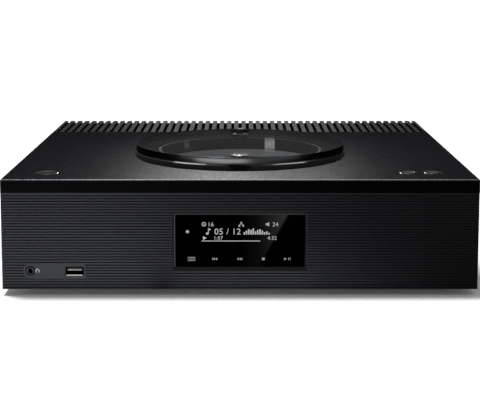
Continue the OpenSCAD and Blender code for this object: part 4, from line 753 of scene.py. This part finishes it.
def terminalDetails(s):  # collars under the caps, and signs on the block
    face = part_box("terminal_block")[1].y
    collars = copies(turned(s["collar"]), [(x * mm, face, s["z"]) for x in s["x"]], toRear)
    settle(collars, "terminalCollars", "matteBlack", "chassis")
    return signPiece("terminalSigns", terminalTable, face, "signGrey", toBack)


jackRings(lineJacks)
networkDetails(network)
inletSleeves(inletPins)
terminalDetails(terminals)
signPiece("rearNumbers", jackTable, rearFace, "signGrey", toBack)
print("rear details done")

frontJack = {"x": -149.1 * mm, "z": 17.8 * mm,
             "collar": [(3.38, -0.05), (3.3, 0.34), (2.95, 0.45), (2.55, 0.42), (2.5, -0.05)],
             "mouth": [(2.52, -0.05), (2.52, 0.36), (1.86, 0.02), (1.86, -0.05)]}


def jackCollar(s):  # raised bush whose mouth slopes into the bore
    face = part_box("headphone_jack")[0].y
    for name, part, finish in (("jackCollar", "collar", "jackBlack"), ("jackMouth", "mouth", "jackLip")):
        ring = copies(turned(s[part]), [(s["x"], face, s["z"])], toFront)
        settle(ring, name, finish, "chassis")


usbMouth = {
    "x": -117.6 * mm,
    "tip": {"wide": 10.0 * mm, "y": (-0.12 * mm, 0.2 * mm), "z": (17.85 * mm, 19.15 * mm), "cut": 0.06 * mm},
    "lip": {"wide": 11.4 * mm, "y": (-0.03 * mm, 1.4 * mm), "z": (14.35 * mm, 15.2 * mm), "cut": 0.12 * mm},
    "contact": {"wide": 0.9 * mm, "y": (0.0, 5.0 * mm), "z": (-0.14 * mm, 0.05 * mm), "cut": 0.04 * mm},
    "contactX": (-3.5 * mm, -1.0 * mm, 1.0 * mm, 3.5 * mm), "contactIn": 2.6 * mm, "tongueLow": 17.8 * mm,
}


def strip(s, x, y):  # flat bar from its settings
    half, (near, far), (low, high) = s["wide"] / 2, s["y"], s["z"]
    return block((x - half, y + near, low), (x + half, y + far, high), s["cut"])


def usbDetails(s):  # light tip on the tongue, spring lip along the lower edge, four contacts under the tongue
    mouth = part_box("usb_shell")[0].y
    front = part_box("usb_tongue")[0].y
    settle(joined([strip(s["tip"], s["x"], front)]), "usbTip", "tipGrey", "chassis")
    settle(joined([strip(s["lip"], s["x"], mouth)]), "usbLip", "springSteel", "chassis")
    places = [(s["x"] + x, front + s["contactIn"], s["tongueLow"]) for x in s["contactX"]]
    settle(copies(strip(s["contact"], 0, 0), places), "usbContacts", "goldPlate", "chassis")


windowEdge = {"x": 46.6 * mm, "z": (19.8 * mm, 58.8 * mm), "wide": 0.5 * mm, "proud": 0.2 * mm, "back": 0.02 * mm,
              "rim": 0.04 * mm, "openBelow": 0.7 * mm}


def windowBevel(s):  # ground edge of the glass, a thin sloped frame round the top and sides of the window
    letGo()
    low, high = s["z"]
    bpy.ops.mesh.primitive_plane_add(size=1, location=(0, glassFace + s["back"], (low + high) / 2), rotation=toFront)
    piece = bpy.context.object
    piece.scale = (2 * s["x"], high - low, 1)
    bpy.ops.object.transform_apply(location=True, rotation=True, scale=True)
    bpy.ops.object.mode_set(mode="EDIT")
    bpy.ops.mesh.select_all(action="SELECT")
    bpy.ops.mesh.inset(thickness=s["wide"])  # the inset face stays selected and comes forward
    bpy.ops.transform.translate(value=(0, -s["proud"], 0))
    bpy.ops.mesh.inset(thickness=s["rim"])
    bpy.ops.transform.translate(value=(0, s["proud"], 0))
    bpy.ops.mesh.delete(type="FACE")
    bpy.ops.mesh.select_all(action="DESELECT")
    bpy.ops.mesh.select_non_manifold()
    bpy.ops.mesh.bridge_edge_loops()
    bpy.ops.mesh.select_all(action="SELECT")
    bpy.ops.mesh.bisect(plane_co=(0, 0, low + s["openBelow"]), plane_no=(0, 0, 1), use_fill=True, clear_inner=True)
    bpy.ops.mesh.select_all(action="SELECT")
    bpy.ops.mesh.normals_make_consistent(inside=False)
    bpy.ops.object.mode_set(mode="OBJECT")
    return settle(piece, "windowBevel", "glassEdge", "chassis")


hubButton = {"cap": [(3.7, -0.3), (3.7, 0.5), (3.3, 1.1), (2.4, 1.45), (0.8, 1.56)],
             "shoulder": [(3.9, -0.05), (7.2, -0.05), (7.2, 0.55), (6.6, 1.0), (4.6, 1.15), (3.9, 1.0)]}


def hubCap(s):  # polished cap in the middle of the hub, dark shoulder round it
    place = (*discMiddle[:2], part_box("turntable")[1].z)
    settle(copies(turned(s["shoulder"]), [place]), "hubShoulder", "hubBlack", "disc_table")
    cap = copies(turned(s["cap"], ring=False), [place])
    return settle(cap, "hubCap", "chrome", "disc_table")


jackCollar(frontJack)
usbDetails(usbMouth)
windowBevel(windowEdge)
hubPiece = hubCap(hubButton)
print("front details done")

camera = {"place": (0, -1.0573, 0.2347), "pitch": 7.146, "lens": 95.7, "sensor": 36, "shift": -0.18}


def setCamera(c):
    data = bpy.data.cameras.new("view")
    data.lens = c["lens"]
    data.sensor_width = c["sensor"]
    data.shift_y = c["shift"]
    eye = bpy.data.objects.new("view", data)
    bpy.context.scene.collection.objects.link(eye)
    eye.location = c["place"]
    eye.rotation_euler = (math.radians(90 - c["pitch"]), 0, 0)
    bpy.context.scene.camera = eye


def seenFlags(sheet):  # 1 for rays that show the background: straight, mirrored or through glass
    path = [sheet.add("LightPath", {}, {}, out=name)
            for name in ("Is Camera Ray", "Is Glossy Ray", "Is Transmission Ray")]
    return path[0] + path[1] + path[2]


studio = {"floorTone": (0.96, 0.96, 0.96), "paper": 300, "paperSpread": (0.995, 1.0), "floorLift": 0.02, "fill": 0.38,
          "floorSize": 60.0, "sunAim": (0.2, -0.12, -1.0), "sunPower": 2.7, "sunWide": 10}


def setFloor(s):
    letGo()
    bpy.ops.mesh.primitive_plane_add(size=s["floorSize"], location=(0, 0, 0))
    floor = bpy.context.object
    floor.name = "floor"
    material, sheet = newFinish("floorPaper")
    paper = sheet.noise(sheet.place(), s["paper"])
    matt = sheet.add("BsdfDiffuse", {}, {"Color": sheet.vary(paper, s["floorTone"], s["paperSpread"])})
    lift = sheet.add("Emission", {}, {"Color": (1, 1, 1), "Strength": 1.0})
    shown = sheet.add("MixShader", {}, {0: seenFlags(sheet) * s["floorLift"], 1: matt, 2: lift})
    sheet.add("OutputMaterial", {}, {"Surface": shown})
    floor.data.materials.append(material)


def setWorld(s):
    world = bpy.data.worlds.new("studio")
    world.use_nodes = True
    bpy.context.scene.world = world
    sheet = Sheet(world.node_tree)
    white = sheet.add("Background", {}, {"Color": (1, 1, 1), "Strength": 1.0})
    fill = sheet.add("Background", {}, {"Color": (1, 1, 1), "Strength": s["fill"]})
    mixed = sheet.add("MixShader", {}, {0: seenFlags(sheet), 1: fill, 2: white})
    sheet.add("OutputWorld", {}, {"Surface": mixed})


def setSun(s):
    data = bpy.data.lights.new("mainSun", "SUN")
    data.energy = s["sunPower"]
    data.angle = math.radians(s["sunWide"])
    lamp = bpy.data.objects.new("mainSun", data)
    bpy.context.scene.collection.objects.link(lamp)
    lamp.rotation_euler = Vector(s["sunAim"]).to_track_quat("-Z", "Y").to_euler()


def linked(state, pieces):  # a set of pieces that a card leaves out or lights alone
    group = bpy.data.collections.new("linked")
    for piece in pieces:
        group.objects.link(piece)
    for entry in group.collection_objects:
        entry.light_linking.link_state = state
    return group


fadeStops = [(0, (0, 0, 0)), (0.35, (0.12, 0.12, 0.12)), (0.65, (0.42, 0.42, 0.42)), (1, (1, 1, 1))]


def layCard(name, corners, power, fade=None, skips=(), only=(), passes=()):  # shows in reflections alone
    letGo()
    bpy.ops.mesh.primitive_plane_add(size=1)
    card = bpy.context.object
    card.name = name
    for vertex, corner in zip(card.data.vertices, corners):
        vertex.co = corner
    material, sheet = newFinish(name)
    tone = (1, 1, 1)
    if fade:  # brighter from one X to the other
        x = sheet.split(sheet.place())[0]
        tone = sheet.add("ValToRGB", {"stops": fadeStops}, {0: (x - fade[0]) / (fade[1] - fade[0])})
    glow = sheet.add("Emission", {}, {"Color": tone, "Strength": power})
    sheet.add("OutputMaterial", {}, {"Surface": glow})
    card.data.materials.append(material)
    card.visible_camera = False
    card.visible_diffuse = False
    card.visible_transmission = False
    card.visible_shadow = False
    if skips:
        card.light_linking.receiver_collection = linked("EXCLUDE", skips)
    if only:
        card.light_linking.receiver_collection = linked("INCLUDE", only)
    if passes:  # these pieces don't shade the card
        card.light_linking.blocker_collection = linked("EXCLUDE", passes)


def edges(first, second):  # corners of a card from two edges along X: from, to, Y and Z
    return [(x, y, z) for a, b, y, z in (first, second) for x in (a, b)]


def lying(x, y, z):
    return edges((*x, y[0], z), (*x, y[1], z))


def upright(x, y, z):
    return edges((*x, y, z[0]), (*x, y, z[1]))


def standing(start, end, z):  # between two points of the floor
    return [(*start, z[0]), (*end, z[0]), (*start, z[1]), (*end, z[1])]


def setCards():
    lid = [nodes[name] for name in ("lid_seat_ring", "lid_rim", "lid_window", "lid_tab", "pivot_cap")]
    bright = [nodes[name] for name in ("compact_disc", "lid_window", "lid_rim", "lid_tab", "lid_seat_ring")]
    bright += [nodes["turntable"], hubPiece]
    pane = [nodes["lid_window"]]
    low = 2 * mm  # height of the cards that lie over the front flag
    layCard("backFlag", upright(x=(-1.6, 1.6), y=1.6, z=(0.0, 1.1)), power=0.05)
    layCard("plateCard", upright(x=(-0.10, 0.10), y=0.17, z=(0.19, 0.26)), power=20.0, skips=bright, passes=lid)
    layCard("plateCardHigh", upright(x=(-0.04, 0.008), y=0.10, z=(0.20, 0.40)), power=88.0, skips=bright, passes=lid)
    layCard("bevelCard", lying(x=(-0.30, 0.06), y=(-0.50, -0.20), z=1.3), power=14.0, skips=lid)
    layCard("bevelCardRight", lying(x=(0.06, 0.34), y=(-0.50, -0.20), z=1.3), power=8.0, skips=lid)
    layCard("rimCard", standing((-0.43, -0.50), (0.09, -0.735), z=(0.0, 0.12)), power=11.0, only=[nodes["lid_rim"]])
    layCard("glint", upright(x=(0.050, 0.070), y=1.5, z=(0.304, 0.3246)), power=0.85, only=pane)
    layCard("glint", upright(x=(-0.1125, -0.1032), y=1.5, z=(0.309, 0.322)), power=0.2, only=pane)
    layCard("cornerCard", lying(x=(-0.80, -0.35), y=(-0.25, -0.09), z=3 * mm), power=8.0)
    layCard("topCard", upright(x=(-0.4, 0.4), y=-1.2, z=(0.55, 0.85)), power=6.0, skips=lid)
    layCard("grilleCard", edges((-0.25, 0.25, 1.55, 0.37), (-0.03, 0.03, 1.55, 0.80)), power=1.8,
            only=[nodes["rear_grille"]])
    layCard("frontFlag", lying(x=(-0.7, 0.30), y=(-0.56, -0.172), z=1 * mm), power=0.0)
    layCard("panelCard", lying(x=(-0.50, -0.062), y=(-0.56, -0.18), z=low), power=11.0)
    layCard("panelCardFar", lying(x=(-0.062, 0.05), y=(-0.56, -0.47), z=low), power=11.0)
    layCard("panelCardNear", lying(x=(-0.051, 0.05), y=(-0.246, -0.18), z=low), power=11.0)
    layCard("panelCardEnd", lying(x=(0.05, 0.19), y=(-0.246, -0.18), z=low), power=8.0, fade=(0.19, 0.05))
    layCard("rightCard", lying(x=(0.30, 0.60), y=(-0.50, -0.20), z=low), power=6.0)
    layCard("glassCard", edges((0.003, 0.0467, -0.466, low), (0.003, 0.0152, -0.2505, low)), power=32.0,
            fade=(0.001, 0.0467))
    for side, power in ((-1, 14.0), (1, 9.0)):  # high at each side, for the ring and the dished buttons
        inner, outer, far = side * 0.24, side * 0.41, side * 0.8
        layCard("sideCard", [(inner, -0.17, 0.66), (outer, -0.12, 0.56), (inner, 0.05, 0.66), (outer, 0.10, 0.56)],
                power=power)
        layCard("sideFlag", standing((far, -0.45), (far, 1.6), z=(0.0, 1.1)), power=0.0)


setCamera(camera)
setFloor(studio)
setWorld(studio)
setSun(studio)
setCards()
print("studio set")

bpy.context.scene.view_settings.view_transform = "Standard"
